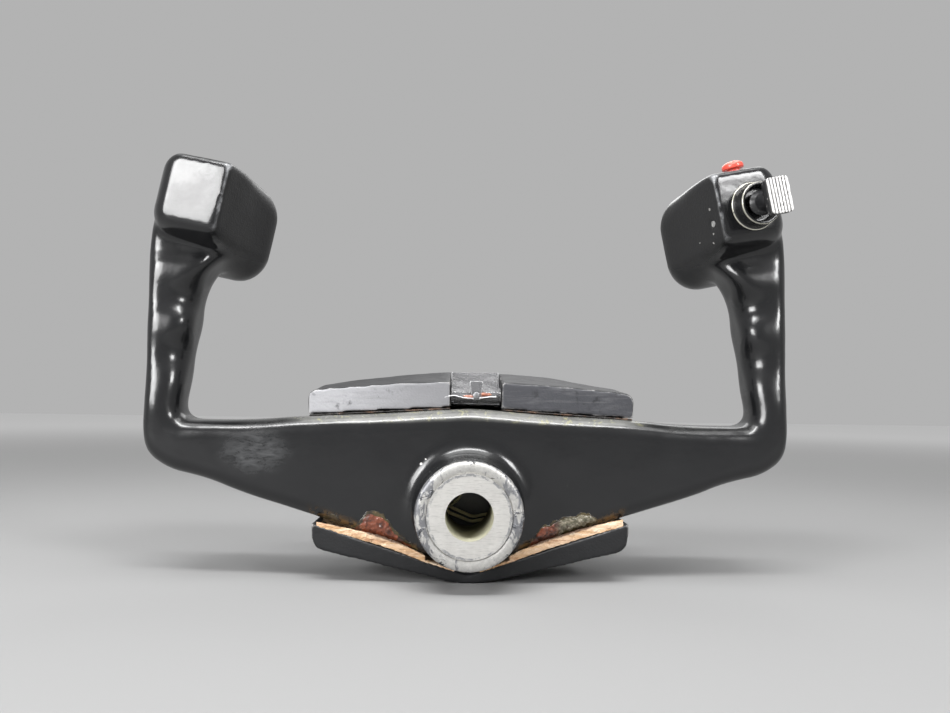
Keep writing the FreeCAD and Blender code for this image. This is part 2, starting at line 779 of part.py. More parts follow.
def chart_clip():
    """Clear bent clip that lies on the notch's sloping wall, runs forward as a shelf and turns down."""
    width = NOTCH_WIDTH - 2 * CLIP_GAP
    slope = notch_slope()
    rise = (CLIP_GAP + CLIP_THICKNESS / 2) * math.hypot(1, slope)
    line = [
        (NOTCH_BACK_Y + CLIP_RUN, CLIP_SHELF_Z - NOTCH_STEP + slope * CLIP_RUN + rise),
        (NOTCH_BACK_Y + (NOTCH_STEP - rise) / slope, CLIP_SHELF_Z),
        (CLIP_FRONT_Y + 2.2, CLIP_SHELF_Z),
        (CLIP_FRONT_Y, CLIP_SHELF_Z - 2.0),
        (CLIP_FRONT_Y + 0.8, CLIP_SHELF_Z - 5.0),
        (CLIP_FRONT_Y + 4.0, CLIP_SHELF_Z - 7.4),
    ]
    plane = Plane(V(NOTCH_X - width / 2, 0, 0), AXIS_Y, AXIS_Z)
    clip = sheet_prism(plane, line, CLIP_THICKNESS, AXIS_X * width)
    hole = Part.makeCylinder(RIVET_R + SCREW_GAP, 12, rivet_place() - AXIS_Y * 4, AXIS_Y)
    return clip.cut(hole)


def rivet_place():
    """Point on the rivet's axis, on the clip's front."""
    return V(NOTCH_X, CLIP_FRONT_Y, CLIP_SHELF_Z - 3.3)


def chart_clip_tab():
    """Small flared tab, riveted to the clip's front and standing up above its shelf."""
    face_y = CLIP_FRONT_Y - CLIP_THICKNESS / 2 - 0.9
    plane = Plane(V(NOTCH_X, face_y, CLIP_SHELF_Z), AXIS_X, AXIS_Z)
    half = TAB_WIDTH / 2
    outline = rounded_outline(
        plane,
        [(-half * 0.62, -5.4, 0.8), (half * 0.62, -5.4, 0.8), (half, 4.0, 0.8), (-half, 4.0, 0.8)],
    )
    tab = Part.Face(outline).extrude(-AXIS_Y * 1.0)
    return tab.cut(Part.makeCylinder(RIVET_R + SCREW_GAP, 12, rivet_place() - AXIS_Y * 8, AXIS_Y))


def chart_clip_rivet():
    head_y = CLIP_FRONT_Y - CLIP_THICKNESS / 2 - 1.9
    place = V(NOTCH_X, head_y, rivet_place().z)
    dome = turned([(0, 0), (RIVET_HEAD_R, 0), (RIVET_HEAD_R * 0.75, 0.8), (0, 1.1)], place, -AXIS_Y)
    shank = Part.makeCylinder(RIVET_R, 5.6, place - AXIS_Y * 0.1, AXIS_Y)
    return dome.fuse(shank)


def strip_block(x0, x1, low, high, edge_z, y0, y1):
    """Strip that follows an edge of the crossbar between two heights off it."""
    plane = Plane(V(0, y0, 0), AXIS_X, AXIS_Z)
    corners = [(x, edge_z(x) + off) for x, off in ((x0, low), (x1, low), (x1, high), (x0, high))]
    return polygon_prism(plane, corners, AXIS_Y * (y1 - y0))


def adhesive_strips():
    """Old dried adhesive between the pad's lips and the casting, with a bead along the lower lip."""
    strips = []
    front = UPPER_LIP_FRONT_Y - ADHESIVE_SETBACK
    back = front + ADHESIVE_DEPTH
    for side in (-1, 1):
        x0 = side * NOTCH_WIDTH / 2 + NOTCH_X + side * ADHESIVE_GAP
        x1 = side * (PAD_TOP_HALF_WIDTH - ADHESIVE_SIDE_GAP) + PAD_SHIFT
        strips.append(strip_block(x0, x1, ADHESIVE_GAP, PAD_GAP_TOP - ADHESIVE_GAP, topside_z, front, back))
    front = LOWER_LIP_FRONT_Y + 0.5
    back = front + ADHESIVE_LOW_DEPTH
    low = ADHESIVE_GAP - PAD_GAP_LOW
    for side in (-1, 1):
        x0 = side * ADHESIVE_LOW_START
        x1 = side * (PAD_LOW_HALF_WIDTH - ADHESIVE_SIDE_GAP) + PAD_SHIFT
        sheet = strip_block(x0, x1, low, -2 * ADHESIVE_GAP, underside_z, front, back)
        bead = strip_block(side * BEAD_START, x1, low, BEAD_RISE, underside_z, front, FRONT_Y + 0.8)
        strips.append(sheet.fuse(bead).removeSplitter())
    return Part.makeCompound(strips)


# Rocking switch, along its own axis out of the head's face
SWITCH_AXIS = -HEAD_BACKWARD


def switch_turned(profile):
    return turned(profile, on_switch(0), SWITCH_AXIS)


def switch_collar():
    """Stepped black collar: a flange on the face, a barrel and a cup that the lever comes out of."""
    return switch_turned(
        [
            (COLLAR_THROAT_R, 0),
            (COLLAR_FLANGE_R - 0.3, 0),
            (COLLAR_FLANGE_R, 0.3),
            (COLLAR_FLANGE_R, COLLAR_FLANGE - 0.3),
            (COLLAR_FLANGE_R - 0.3, COLLAR_FLANGE),
            (COLLAR_R, COLLAR_FLANGE),
            (COLLAR_RIM_R - 0.3, COLLAR_HEIGHT - 1.6),
            (COLLAR_RIM_R, COLLAR_HEIGHT - 1.2),
            (COLLAR_RIM_R, COLLAR_HEIGHT - 0.4),
            (COLLAR_RIM_R - 0.4, COLLAR_HEIGHT),
            (COLLAR_CUP_R + 0.3, COLLAR_HEIGHT),
            (COLLAR_CUP_R, COLLAR_HEIGHT - 0.3),
            (COLLAR_CUP_R - 0.8, COLLAR_CUP_FLOOR),
            (COLLAR_THROAT_R, COLLAR_CUP_FLOOR),
        ]
    )


def switch_housing():
    """Cylindrical switch body in the head's bore, with the cavity that the lever pivots in."""
    housing = switch_turned(
        [
            (HOUSING_CAVITY_R, 0),
            (HOUSING_R, 0),
            (HOUSING_R, -HOUSING_LENGTH + 0.6),
            (HOUSING_R - 0.6, -HOUSING_LENGTH),
            (0, -HOUSING_LENGTH),
            (0, -HOUSING_CAVITY_LENGTH),
            (HOUSING_CAVITY_R, -HOUSING_CAVITY_LENGTH),
        ]
    )
    for pin in terminal_pins(TERMINAL_R + PRESS_GAP):
        housing = housing.cut(pin)
    return housing.cut(pivot_rod(PIVOT_PIN_R, HOUSING_R + 1))


def pivot_rod(radius, half_length):
    middle = on_switch(-PIVOT_DEPTH)
    return rod(radius, middle - HEAD_UP * half_length, middle + HEAD_UP * half_length)


def switch_pivot_pin():
    return pivot_rod(PIVOT_PIN_R, HOUSING_R - 0.7)


def switch_lever():
    """Ball, neck and skirt of the lever, with the hole for its pivot pin."""
    spring_seat = -PIVOT_DEPTH - BALL_R * 0.8
    body = switch_turned(
        [
            (0, spring_seat),
            (BALL_R * 0.6, spring_seat),
            (BALL_R * 0.92, -PIVOT_DEPTH - BALL_R * 0.4),
            (BALL_R, -PIVOT_DEPTH),
            (BALL_R * 0.92, -PIVOT_DEPTH + BALL_R * 0.4),
            (NECK_R, -PIVOT_DEPTH + BALL_R * 0.84),
            (NECK_R, SKIRT_HEIGHT - 0.6),
            (SKIRT_R - 0.6, SKIRT_HEIGHT),
            (SKIRT_R, SKIRT_HEIGHT + 0.5),
            (SKIRT_R - 0.8, SKIRT_HEIGHT + 1.4),
            (NECK_R + 1.9, SKIRT_HEIGHT + 3.0),
            (NECK_R + 1.5, CAP_BACK),
            (NECK_R, CAP_BACK),
            (NECK_R, CAP_BACK + 4.0),
            (0, CAP_BACK + 4.0),
        ]
    )
    return body.cut(pivot_rod(PIVOT_PIN_R + RUNNING_GAP, HOUSING_R))


def switch_cap():
    """Finger cap with upright ribs on its face."""
    plane = Plane(on_switch(CAP_BACK), HEAD_OUTWARD, HEAD_UP)
    half_width = CAP_WIDTH / 2
    half_height = CAP_HEIGHT / 2
    foot = rounded_outline(
        plane,
        [
            (-half_width + 1.6, -half_height + 1.4, 1.5),
            (half_width - 1.6, -half_height + 1.4, 1.5),
            (half_width - 1.6, half_height - 1.4, 1.5),
            (-half_width + 1.6, half_height - 1.4, 1.5),
        ],
    )
    face_plane = Plane(on_switch(CAP_BACK + CAP_THICKNESS * 0.45), HEAD_OUTWARD, HEAD_UP)
    front_plane = Plane(on_switch(CAP_BACK + CAP_THICKNESS), HEAD_OUTWARD, HEAD_UP)
    outline = [
        (-half_width, -half_height, 1.8),
        (half_width, -half_height, 1.8),
        (half_width, half_height, 1.8),
        (-half_width, half_height, 1.8),
    ]
    middle = rounded_outline(face_plane, outline)
    front = rounded_outline(front_plane, outline)
    cap = Part.makeLoft([foot, middle, front], True, True)
    pitch = CAP_WIDTH / CAP_RIB_COUNT
    for i in range(1, CAP_RIB_COUNT):
        a = -half_width + pitch * i
        groove_plane = Plane(
            on_switch(CAP_BACK + CAP_THICKNESS) - HEAD_UP * (half_height + 1), HEAD_OUTWARD, SWITCH_AXIS
        )
        corners = [(a - pitch * 0.32, 0.3), (a, -CAP_GROOVE_DEPTH), (a + pitch * 0.32, 0.3)]
        cap = cap.cut(polygon_prism(groove_plane, corners, HEAD_UP * (CAP_HEIGHT + 2)))
    return cap.cut(rod(NECK_R, on_switch(CAP_BACK - 1), on_switch(CAP_BACK + 4.0)))


def switch_centring_spring():
    """Spring between the lever's foot and the housing's floor, which brings the lever back to the middle."""
    seat = -PIVOT_DEPTH - BALL_R * 0.8
    floor = -HOUSING_CAVITY_LENGTH
    gap = CENTRING_SPRING_WIRE + 0.05
    return helix_spring(
        CENTRING_SPRING_R,
        CENTRING_SPRING_WIRE,
        seat - floor - 2 * gap,
        4,
        on_switch(floor + gap),
        SWITCH_AXIS,
    )


def terminal_pins(radius):
    """Three bars out of the back of the housing, side by side."""
    pins = []
    for step in (-1, 0, 1):
        base = on_switch(-HOUSING_LENGTH + TERMINAL_ROOT) + HEAD_OUTWARD * (TERMINAL_STEP * step)
        pins.append(rod(radius, base, base - SWITCH_AXIS * TERMINAL_LENGTH))
    return pins


def switch_terminals():
    """Solder pins of the switch."""
    return Part.makeCompound(terminal_pins(TERMINAL_R))


def switch_set_screw():
    """Slotted grub screw that holds the switch housing."""
    screw = set_screw_rod(SET_SCREW_R, -SET_SCREW_RECESS, 0.02)
    tip = in_head(-HEAD_FACE_HALF_WIDTH - 1.4 + SET_SCREW_RECESS, SET_SCREW_V, SET_SCREW_DEPTH)
    plane = Plane(tip - HEAD_UP * 2 - HEAD_BACKWARD * 0.3, HEAD_OUTWARD, HEAD_BACKWARD)
    slot = polygon_prism(plane, [(-1, 0), (0.9, 0), (0.9, 0.6), (-1, 0.6)], HEAD_UP * 4)
    return screw.cut(slot)


# Button, along its own axis out of the head's top
def button_turned(profile):
    return turned(profile, on_button(0), HEAD_UP)


def button_body():
    """Barrel with the cavity for the plunger and its spring."""
    return button_turned(
        [
            (BUTTON_CAVITY_R, BEZEL_HEIGHT + 0.1),
            (BUTTON_BODY_R - 0.3, BEZEL_HEIGHT + 0.1),
            (BUTTON_BODY_R - 0.3, 0),
            (BUTTON_BODY_R, -0.3),
            (BUTTON_BODY_R, -BUTTON_BODY_LENGTH + 0.05),
            (0, -BUTTON_BODY_LENGTH + 0.05),
            (0, -BUTTON_BODY_LENGTH + 1.6),
            (BUTTON_CAVITY_R, -BUTTON_BODY_LENGTH + 1.6),
        ]
    )


def button_bezel_nut():
    """Thin round nut with two spanner notches."""
    nut = button_turned(
        [
            (BUTTON_BODY_R - 0.3 + PRESS_GAP, 0.25),
            (BEZEL_R, 0.25),
            (BEZEL_R, BEZEL_HEIGHT - 0.4),
            (BEZEL_R - 0.6, BEZEL_HEIGHT),
            (BUTTON_BODY_R - 0.3 + PRESS_GAP, BEZEL_HEIGHT),
        ]
    )
    for side in (-1, 1):
        place = on_button(BEZEL_HEIGHT - 0.3) + HEAD_OUTWARD * (side * (BEZEL_R - 0.2))
        nut = nut.cut(rod(0.7, place, place + HEAD_UP * 3))
    return nut


def button_cap():
    """Red cap with a domed top on its plunger."""
    side_top = BUTTON_CAP_GAP + BUTTON_CAP_SIDE
    points = [(0, plunger_foot()), (BUTTON_STEM_R, plunger_foot()), (BUTTON_STEM_R, BUTTON_CAP_GAP)]
    points.append((BUTTON_CAP_R - 0.4, BUTTON_CAP_GAP))
    points.append((BUTTON_CAP_R, BUTTON_CAP_GAP + 0.4))
    points.append((BUTTON_CAP_R, side_top))
    steps = 6
    for i in range(1, steps):
        angle = math.pi / 2 * i / steps
        points.append((BUTTON_CAP_R * math.cos(angle), side_top + BUTTON_CAP_DOME * math.sin(angle)))
    points.append((0, side_top + BUTTON_CAP_DOME))
    return button_turned(points)


def plunger_foot():
    return -BUTTON_BODY_LENGTH * 0.4


def button_spring():
    floor = -BUTTON_BODY_LENGTH + 1.6
    gap = BUTTON_SPRING_WIRE + 0.05
    length = plunger_foot() - floor - 2 * gap
    return helix_spring(BUTTON_SPRING_R, BUTTON_SPRING_WIRE, length, 3.5, on_button(floor + gap), HEAD_UP)


# Wiring
def wire_route(lane):
    """Points of a wire from the back of the switch, down the horn and along to the pocket."""
    top, foot, mouth = channel_points()
    shift = AXIS_Y * (WIRE_STEP * lane)
    pin_end = TERMINAL_ROOT - TERMINAL_LENGTH
    start = on_switch(-HOUSING_LENGTH + pin_end - SOLDER_GAP) + HEAD_OUTWARD * (TERMINAL_STEP * lane)
    along = (mouth - foot).normalize()
    return [
        start,
        start + HEAD_BACKWARD * 4.0,
        top + shift,
        foot + shift,
        mouth + shift + along * MOUTH_RUN,
    ]


def pocket_route(lane):
    """The rest of a wire, loose in the pocket and across the end of the bore."""
    y = 52.5
    shift = WIRE_STEP * lane
    routes = {
        -1: [V(40, y, 9), V(17, y, -7.0), V(2, y - 1, -9.6), V(-9, y, -5.4), V(-26, y, 8)],
        0: [V(40, y, 11.5), V(18, y, -4.6), V(3, y - 1, -7.4), V(-8, y, -3.0), V(-24, y, 14)],
        1: [V(42, y, 20), V(22, y, 23), V(2, y, 17), V(-4.5, y + 0.8, 1.0), V(-16, y, -7), V(-30, y, -5)],
    }
    return [p + AXIS_Y * (shift * 0.9) for p in routes[lane]]


def loom_wire(lane):
    return bent_wire(wire_route(lane) + pocket_route(lane), WIRE_R, WIRE_BEND)


def switch_wires():
    return Part.makeCompound([loom_wire(lane) for lane in (-1, 0)])


def button_wire():
    """From the button's body back through its small channel, then with the others."""
    start = in_head(BUTTON_U, button_wire_height(), BUTTON_DEPTH + BUTTON_BODY_R + 0.1)
    turn = in_head(BUTTON_U, button_wire_height(), CHAMBER_START + 5.0)
    return bent_wire([start, turn] + wire_route(1)[2:] + pocket_route(1), WIRE_R, WIRE_BEND)


def wire_grommet():
    """Rubber ring where the channel opens into the pocket."""
    top, foot, mouth = channel_points()
    along = (mouth - foot).normalize()
    base = mouth - along * 2.5
    bore = WIRE_STEP + WIRE_R + 0.25
    return turned(
        [
            (bore, 0),
            (CHANNEL_R - 0.05, 0),
            (CHANNEL_R - 0.05, 3.35),
            (CHANNEL_R + GROMMET_LIP, 3.35),
            (CHANNEL_R + GROMMET_LIP, 4.8),
            (bore, 4.8),
        ],
        base,
        along,
    )


def wire_splices():
    """Crimped sleeves on the wires' ends, where the aeroplane's own leads were joined."""
    sleeves = []
    for lane in (-1, 0, 1):
        route = pocket_route(lane)
        way = (route[-1] - route[-2]).normalize()
        sleeves.append(rod(WIRE_R + 0.7, route[-1] + way * 0.05, route[-1] + way * 9))
    return Part.makeCompound(sleeves)


NODES = {
    "wheel_casting": wheel_casting,
    "hub_sleeve": hub_sleeve,
    "pad_backing_plate": pad_backing_plate,
    "backing_plate_screws": backing_plate_screws,
    "center_pad": center_pad,
    "adhesive_strips": adhesive_strips,
    "chart_clip": chart_clip,
    "chart_clip_tab": chart_clip_tab,
    "chart_clip_rivet": chart_clip_rivet,
    "switch_collar": switch_collar,
    "switch_housing": switch_housing,
    "switch_pivot_pin": switch_pivot_pin,
    "switch_lever": switch_lever,
    "switch_cap": switch_cap,
    "switch_centring_spring": switch_centring_spring,
    "switch_terminals": switch_terminals,
    "switch_set_screw": switch_set_screw,
    "button_body": button_body,
    "button_bezel_nut": button_bezel_nut,
    "button_cap": button_cap,
    "button_spring": button_spring,
    "switch_wires": switch_wires,
    "button_wire": button_wire,
    "wire_grommet": wire_grommet,
    "wire_splices": wire_splices,
}


def main():
    os.makedirs("parts", exist_ok=True)
    for name, make in NODES.items():
        shape = make()
        shape.exportStep(f"parts/{name}.step")
        volume = sum(s.Volume for s in shape.Solids)
        print(name, "solids", len(shape.Solids), "volume", round(volume), "valid", shape.isValid())


main()
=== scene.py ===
import json
import math
from functools import cached_property

import bmesh
import bpy
import numpy as np
from mathutils import Matrix, Vector, noise
from mathutils.bvhtree import BVHTree


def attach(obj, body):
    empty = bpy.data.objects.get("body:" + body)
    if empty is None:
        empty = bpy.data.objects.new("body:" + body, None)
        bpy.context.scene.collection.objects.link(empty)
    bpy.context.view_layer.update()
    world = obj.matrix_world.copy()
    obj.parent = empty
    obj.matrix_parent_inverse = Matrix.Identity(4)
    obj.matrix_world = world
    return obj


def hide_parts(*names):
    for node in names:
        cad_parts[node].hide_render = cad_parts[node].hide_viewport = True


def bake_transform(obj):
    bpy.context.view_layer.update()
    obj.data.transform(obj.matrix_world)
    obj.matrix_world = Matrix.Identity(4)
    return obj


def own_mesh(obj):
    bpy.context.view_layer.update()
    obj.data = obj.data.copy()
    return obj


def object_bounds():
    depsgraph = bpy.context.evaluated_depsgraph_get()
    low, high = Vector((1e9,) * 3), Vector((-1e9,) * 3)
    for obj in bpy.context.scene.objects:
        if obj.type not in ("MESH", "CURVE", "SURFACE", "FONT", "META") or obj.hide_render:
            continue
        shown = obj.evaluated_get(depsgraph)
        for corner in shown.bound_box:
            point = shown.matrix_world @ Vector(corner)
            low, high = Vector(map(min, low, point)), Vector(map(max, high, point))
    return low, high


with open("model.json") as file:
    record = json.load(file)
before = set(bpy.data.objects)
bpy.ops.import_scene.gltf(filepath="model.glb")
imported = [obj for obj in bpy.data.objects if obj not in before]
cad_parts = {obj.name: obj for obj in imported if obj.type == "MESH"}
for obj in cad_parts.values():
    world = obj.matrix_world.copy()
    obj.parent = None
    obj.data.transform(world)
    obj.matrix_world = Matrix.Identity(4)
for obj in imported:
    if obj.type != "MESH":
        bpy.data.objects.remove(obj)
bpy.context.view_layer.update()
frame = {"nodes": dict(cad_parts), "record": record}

MM = 0.001
UP_Z = Vector((0, 0, 1))

# Axes of the right head, as in the part's source
HEAD = Vector((136.7, 25.0, 153.5)) * MM
TURN = math.radians(9.0)
LEAN = math.radians(12.5)
HEAD_BACK = Vector((-math.sin(TURN), math.cos(TURN), 0))
LEVEL = Vector((math.cos(TURN), math.sin(TURN), 0))
HEAD_OUT = LEVEL * math.cos(LEAN) + UP_Z * math.sin(LEAN)
HEAD_UP = UP_Z * math.cos(LEAN) - LEVEL * math.sin(LEAN)
SWITCH = HEAD + HEAD_OUT * 4.0 * MM - HEAD_UP * 2.2 * MM
SWITCH_AXIS = -HEAD_BACK

# Slope of the crossbar's lower edge and of the lower lip, and their heights in mm carried on to the middle
EDGE_SLOPE = math.tan(math.radians(18.0))
EDGE_LOW = -30.2
LIP_LOW = -34.6

# Chips on the right head's inner side and pits beside the boss: place and size in mm
CHIPS = (
    (120.4, 30.5, 151.4, 0.85),
    (123.0, 31.9, 139.2, 0.75),
    (123.5, 33.6, 134.9, 0.65),
    (120.1, 44.7, 137.1, 0.50),
    (-23.5, 29.8, 21.4, 0.80),
    (-21.2, 29.7, 23.6, 0.50),
    (-23.3, 20.5, 1.2, 0.90),
    (-104.0, 40.0, 156.0, 0.35),
)


# Materials, made of procedural nodes
class Finish:
    """A material whose nodes are added with short calls. Lengths in its coordinates are metres."""

    def __init__(self, name, **settings):
        self.material = bpy.data.materials.new(name)
        self.material.use_nodes = True
        self.nodes = self.material.node_tree.nodes
        self.links = self.material.node_tree.links
        self.shader = self.nodes["Principled BSDF"]
        for key, value in settings.items():
            self.shader.inputs[key.replace("_", " ")].default_value = value
        coordinates = self.nodes.new("ShaderNodeTexCoord")
        self.point = coordinates.outputs["Object"]
        self.normal = coordinates.outputs["Normal"]

    @cached_property
    def depth(self):
        return self.along((0, 1, 0))

    @cached_property
    def height(self):
        return self.along((0, 0, 1))

    @cached_property
    def side(self):
        """Distance from the middle, to either side."""
        return self.math("ABSOLUTE", self.along((1, 0, 0)))

    @cached_property
    def lower_edge(self):
        """Height of the crossbar's lower edge at the point's distance from the middle."""
        return self.math("MULTIPLY_ADD", self.side, EDGE_SLOPE, EDGE_LOW * MM)

    def feed(self, socket, value):
        if isinstance(value, bpy.types.NodeSocket):
            self.links.new(value, socket)
        else:
            socket.default_value = value

    def set(self, name, value):
        self.feed(self.shader.inputs[name], value)

    def math(self, operation, a, b=0.0, c=0.0):
        node = self.nodes.new("ShaderNodeMath")
        node.operation = operation
        for socket, value in zip(node.inputs, (a, b, c)):
            self.feed(socket, value)
        return node.outputs[0]

    def vector(self, operation, a, b=(0, 0, 0)):
        node = self.nodes.new("ShaderNodeVectorMath")
        node.operation = operation
        self.feed(node.inputs[0], a)
        self.feed(node.inputs[1], b)
        return node.outputs["Value" if operation in ("DOT_PRODUCT", "LENGTH", "DISTANCE") else "Vector"]

    def along(self, direction, origin=(0, 0, 0)):
        """Distance of the point along a direction from an origin."""
        return self.vector("DOT_PRODUCT", self.vector("SUBTRACT", self.point, origin), tuple(direction))

    def facing(self, direction):
        """1 where the surface faces the direction, 0 where it lies along it."""
        return self.vector("DOT_PRODUCT", self.normal, tuple(direction))

    def radius(self, origin, direction):
        """Distance of the point from an axis."""
        offset = self.vector("SUBTRACT", self.point, tuple(origin))
        share = self.vector("DOT_PRODUCT", offset, tuple(direction))
        node = self.nodes.new("ShaderNodeVectorMath")
        node.operation = "SCALE"
        node.inputs[0].default_value = tuple(direction)
        self.links.new(share, node.inputs["Scale"])
        return self.vector("LENGTH", self.vector("SUBTRACT", offset, node.outputs["Vector"]))

    def step(self, value, low, high):
        """0 below low and 1 above high, smooth between. Low may be the larger, which turns it round."""
        node = self.nodes.new("ShaderNodeMapRange")
        node.interpolation_type = "SMOOTHSTEP"
        self.feed(node.inputs["Value"], value)
        node.inputs["From Min"].default_value = low
        node.inputs["From Max"].default_value = high
        return node.outputs["Result"]

    def band(self, value, middle, half):
        """1 around the middle and 0 from half to either side."""
        return self.step(self.math("ABSOLUTE", self.math("SUBTRACT", value, middle)), half, half * 0.6)

    def between(self, value, low, high):
        """A number from low to high as value runs from 0 to 1."""
        node = self.nodes.new("ShaderNodeMapRange")
        self.feed(node.inputs["Value"], value)
        node.inputs["To Min"].default_value = low
        node.inputs["To Max"].default_value = high
        return node.outputs["Result"]

    def both(self, a, b):
        return self.math("MULTIPLY", a, b)

    def either(self, a, b):
        return self.math("MAXIMUM", a, b)

    def mix(self, share, a, b):
        node = self.nodes.new("ShaderNodeMix")
        node.data_type = "RGBA"
        self.feed(node.inputs["Factor"], share)
        for key, value in (("A", a), ("B", b)):
            socket = [s for s in node.inputs if s.name == key and s.type == "RGBA"][0]
            self.feed(socket, value if isinstance(value, bpy.types.NodeSocket) else (*value, 1))
        return [s for s in node.outputs if s.type == "RGBA"][0]

    def cover(self, colour, mask, amount, over):
        """The colour with another laid over it, by the mask times amount."""
        return self.mix(self.both(mask, amount), colour, over)

    def stretched(self, scale):
        node = self.nodes.new("ShaderNodeMapping")
        self.links.new(self.point, node.inputs["Vector"])
        node.inputs["Scale"].default_value = scale
        return node.outputs["Vector"]

    def noise(self, size, detail=3.0, roughness=0.55, distortion=0.0, point=None):
        """Noise from 0 to 1 whose lumps are about size across."""
        node = self.nodes.new("ShaderNodeTexNoise")
        self.links.new(point or self.point, node.inputs["Vector"])
        node.inputs["Scale"].default_value = 1 / size
        node.inputs["Detail"].default_value = detail
        node.inputs["Roughness"].default_value = roughness
        node.inputs["Distortion"].default_value = distortion
        return node.outputs["Fac"]

    def cells(self, size, feature="F1"):
        """Cells about size across, as a node."""
        node = self.nodes.new("ShaderNodeTexVoronoi")
        node.feature = feature
        self.links.new(self.point, node.inputs["Vector"])
        node.inputs["Scale"].default_value = 1 / size
        node.inputs["Randomness"].default_value = 1.0
        return node

    def specks(self, size, share, spread):
        """Small spots, in a share of the cells."""
        node = self.cells(size)
        number = self.vector("DOT_PRODUCT", node.outputs["Color"], (1, 0, 0))
        chosen = self.step(number, 1 - share, 1 - share + 0.02)
        return self.both(chosen, self.step(node.outputs["Distance"], spread, spread * 0.5))

    def edges(self, low, high):
        """Outer edges of a dense mesh."""
        node = self.nodes.new("ShaderNodeNewGeometry")
        return self.step(node.outputs["Pointiness"], low, high)

    def bump(self, height, distance, strength, under=None):
        """A surface normal raised by height, on top of the one under it."""
        node = self.nodes.new("ShaderNodeBump")
        node.inputs["Distance"].default_value = distance
        node.inputs["Strength"].default_value = strength
        self.feed(node.inputs["Height"], height)
        if under:
            self.links.new(under, node.inputs["Normal"])
        return node.outputs["Normal"]


def scratches(finish, size, long_axis, length):
    """Fine lines that run along one axis (0, 1 or 2), length times as long as they are wide."""
    scale = [1.0, 1.0, 1.0]
    scale[long_axis] = 1 / length
    return finish.noise(size, 2.0, 0.7, 0.0, finish.stretched(tuple(scale)))


def head_sides(f):
    """The heads' inner side faces."""
    left_out = Vector((-HEAD_OUT.x, HEAD_OUT.y, HEAD_OUT.z))
    right_face = f.both(f.step(f.facing(-HEAD_OUT), 0.62, 0.85), f.step(f.along((1, 0, 0)), 0.0, 0.001))
    left_face = f.both(f.step(f.facing(-left_out), 0.62, 0.85), f.step(f.along((-1, 0, 0)), 0.0, 0.001))
    return f.both(f.either(right_face, left_face), f.step(f.height, 0.125, 0.131))


def scraped_rim(f):
    """The boss's rim: where its coat is thin, where it is scraped down to metal, and smears on that metal."""
    rim = f.both(f.step(f.depth, 0.0042, 0.0015), f.step(f.radius((0, 0, 0), (0, 1, 0)), 0.0268, 0.0262))
    wear = f.noise(0.0052, 5.0, 0.62, 0.8)
    by_depth = f.between(f.step(f.depth, 0.0034, 0.0006), -0.15, 0.03)
    by_side = f.between(f.step(f.side, 0.010, 0.021), 0.08, -0.01)
    scraped = f.both(rim, f.step(f.math("ADD", wear, f.math("ADD", by_depth, by_side)), 0.42, 0.50))
    thin = f.both(rim, f.step(wear, 0.30, 0.46))
    smear = f.noise(0.0034, 5.0, 0.65, 0.5, f.stretched((1.0, 1.0, 0.5)))
    to_the_side = f.between(f.step(f.side, 0.012, 0.021), -0.06, 0.07)
    smear = f.both(rim, f.step(f.math("ADD", smear, to_the_side), 0.53, 0.60))
    return thin, scraped, smear


def chipped_spots(f):
    """The chips, with ragged edges."""
    wobble = f.between(f.noise(0.0008, 3.0), -0.0005, 0.0005)
    chips = 0.0
    for *place, size in CHIPS:
        gap = f.math("ADD", f.vector("DISTANCE", f.point, Vector(place) * MM), wobble)
        chips = f.either(chips, f.step(gap, size * MM, size * MM * 0.7))
    return f.step(chips, 0.45, 0.55)


def bar_top(f):
    """The crossbar's top edge near the pad, where old residue lies, and where a pale film also paints part of
    the edge's highlight.
    """
    area = f.both(f.step(f.facing((0, -0.35, 0.94)), 0.55, 0.9), f.step(f.side, 0.095, 0.075))
    return f.both(area, f.both(f.step(f.height, 0.040, 0.0425), f.step(f.height, 0.054, 0.051)))


def lip_stain(f):
    """Thin brown stain next to the lower lip."""
    rise = f.math("SUBTRACT", f.height, f.lower_edge)
    across = f.both(f.step(f.side, 0.080, 0.074), f.step(f.side, 0.024, 0.027))
    area = f.both(f.both(f.step(rise, 0.0075, 0.002), across), f.step(f.depth, 0.045, 0.040))
    return f.both(area, f.step(f.noise(0.004, 5.0, 0.65, 0.6), 0.40, 0.60))


def head_edges(f):
    """Light edges on the heads' front halves: worn paint, and partly a painted highlight along the edges."""
    worn = f.both(f.edges(0.520, 0.550), f.step(f.noise(0.006, 4.0, 0.65), 0.36, 0.52))
    return f.both(worn, f.both(f.step(f.height, 0.128, 0.134), f.step(f.depth, 0.034, 0.029)))


def smear_sheen_patch(f):
    """Smeared patch on the crossbar's front: rougher, with a lighter grey colour that partly paints the sheen
    of the left lamps on it.
    """
    gap = f.vector("DISTANCE", f.vector("MULTIPLY", f.point, (0.8, 1.0, 1.3)), (-0.084, 0.030, 0.034))
    streaks = f.noise(0.003, 6.0, 0.75, 0.4, f.stretched((0.35, 1.0, 1.0)))
    return f.both(f.step(gap, 0.018, 0.005), f.step(streaks, 0.30, 0.72))


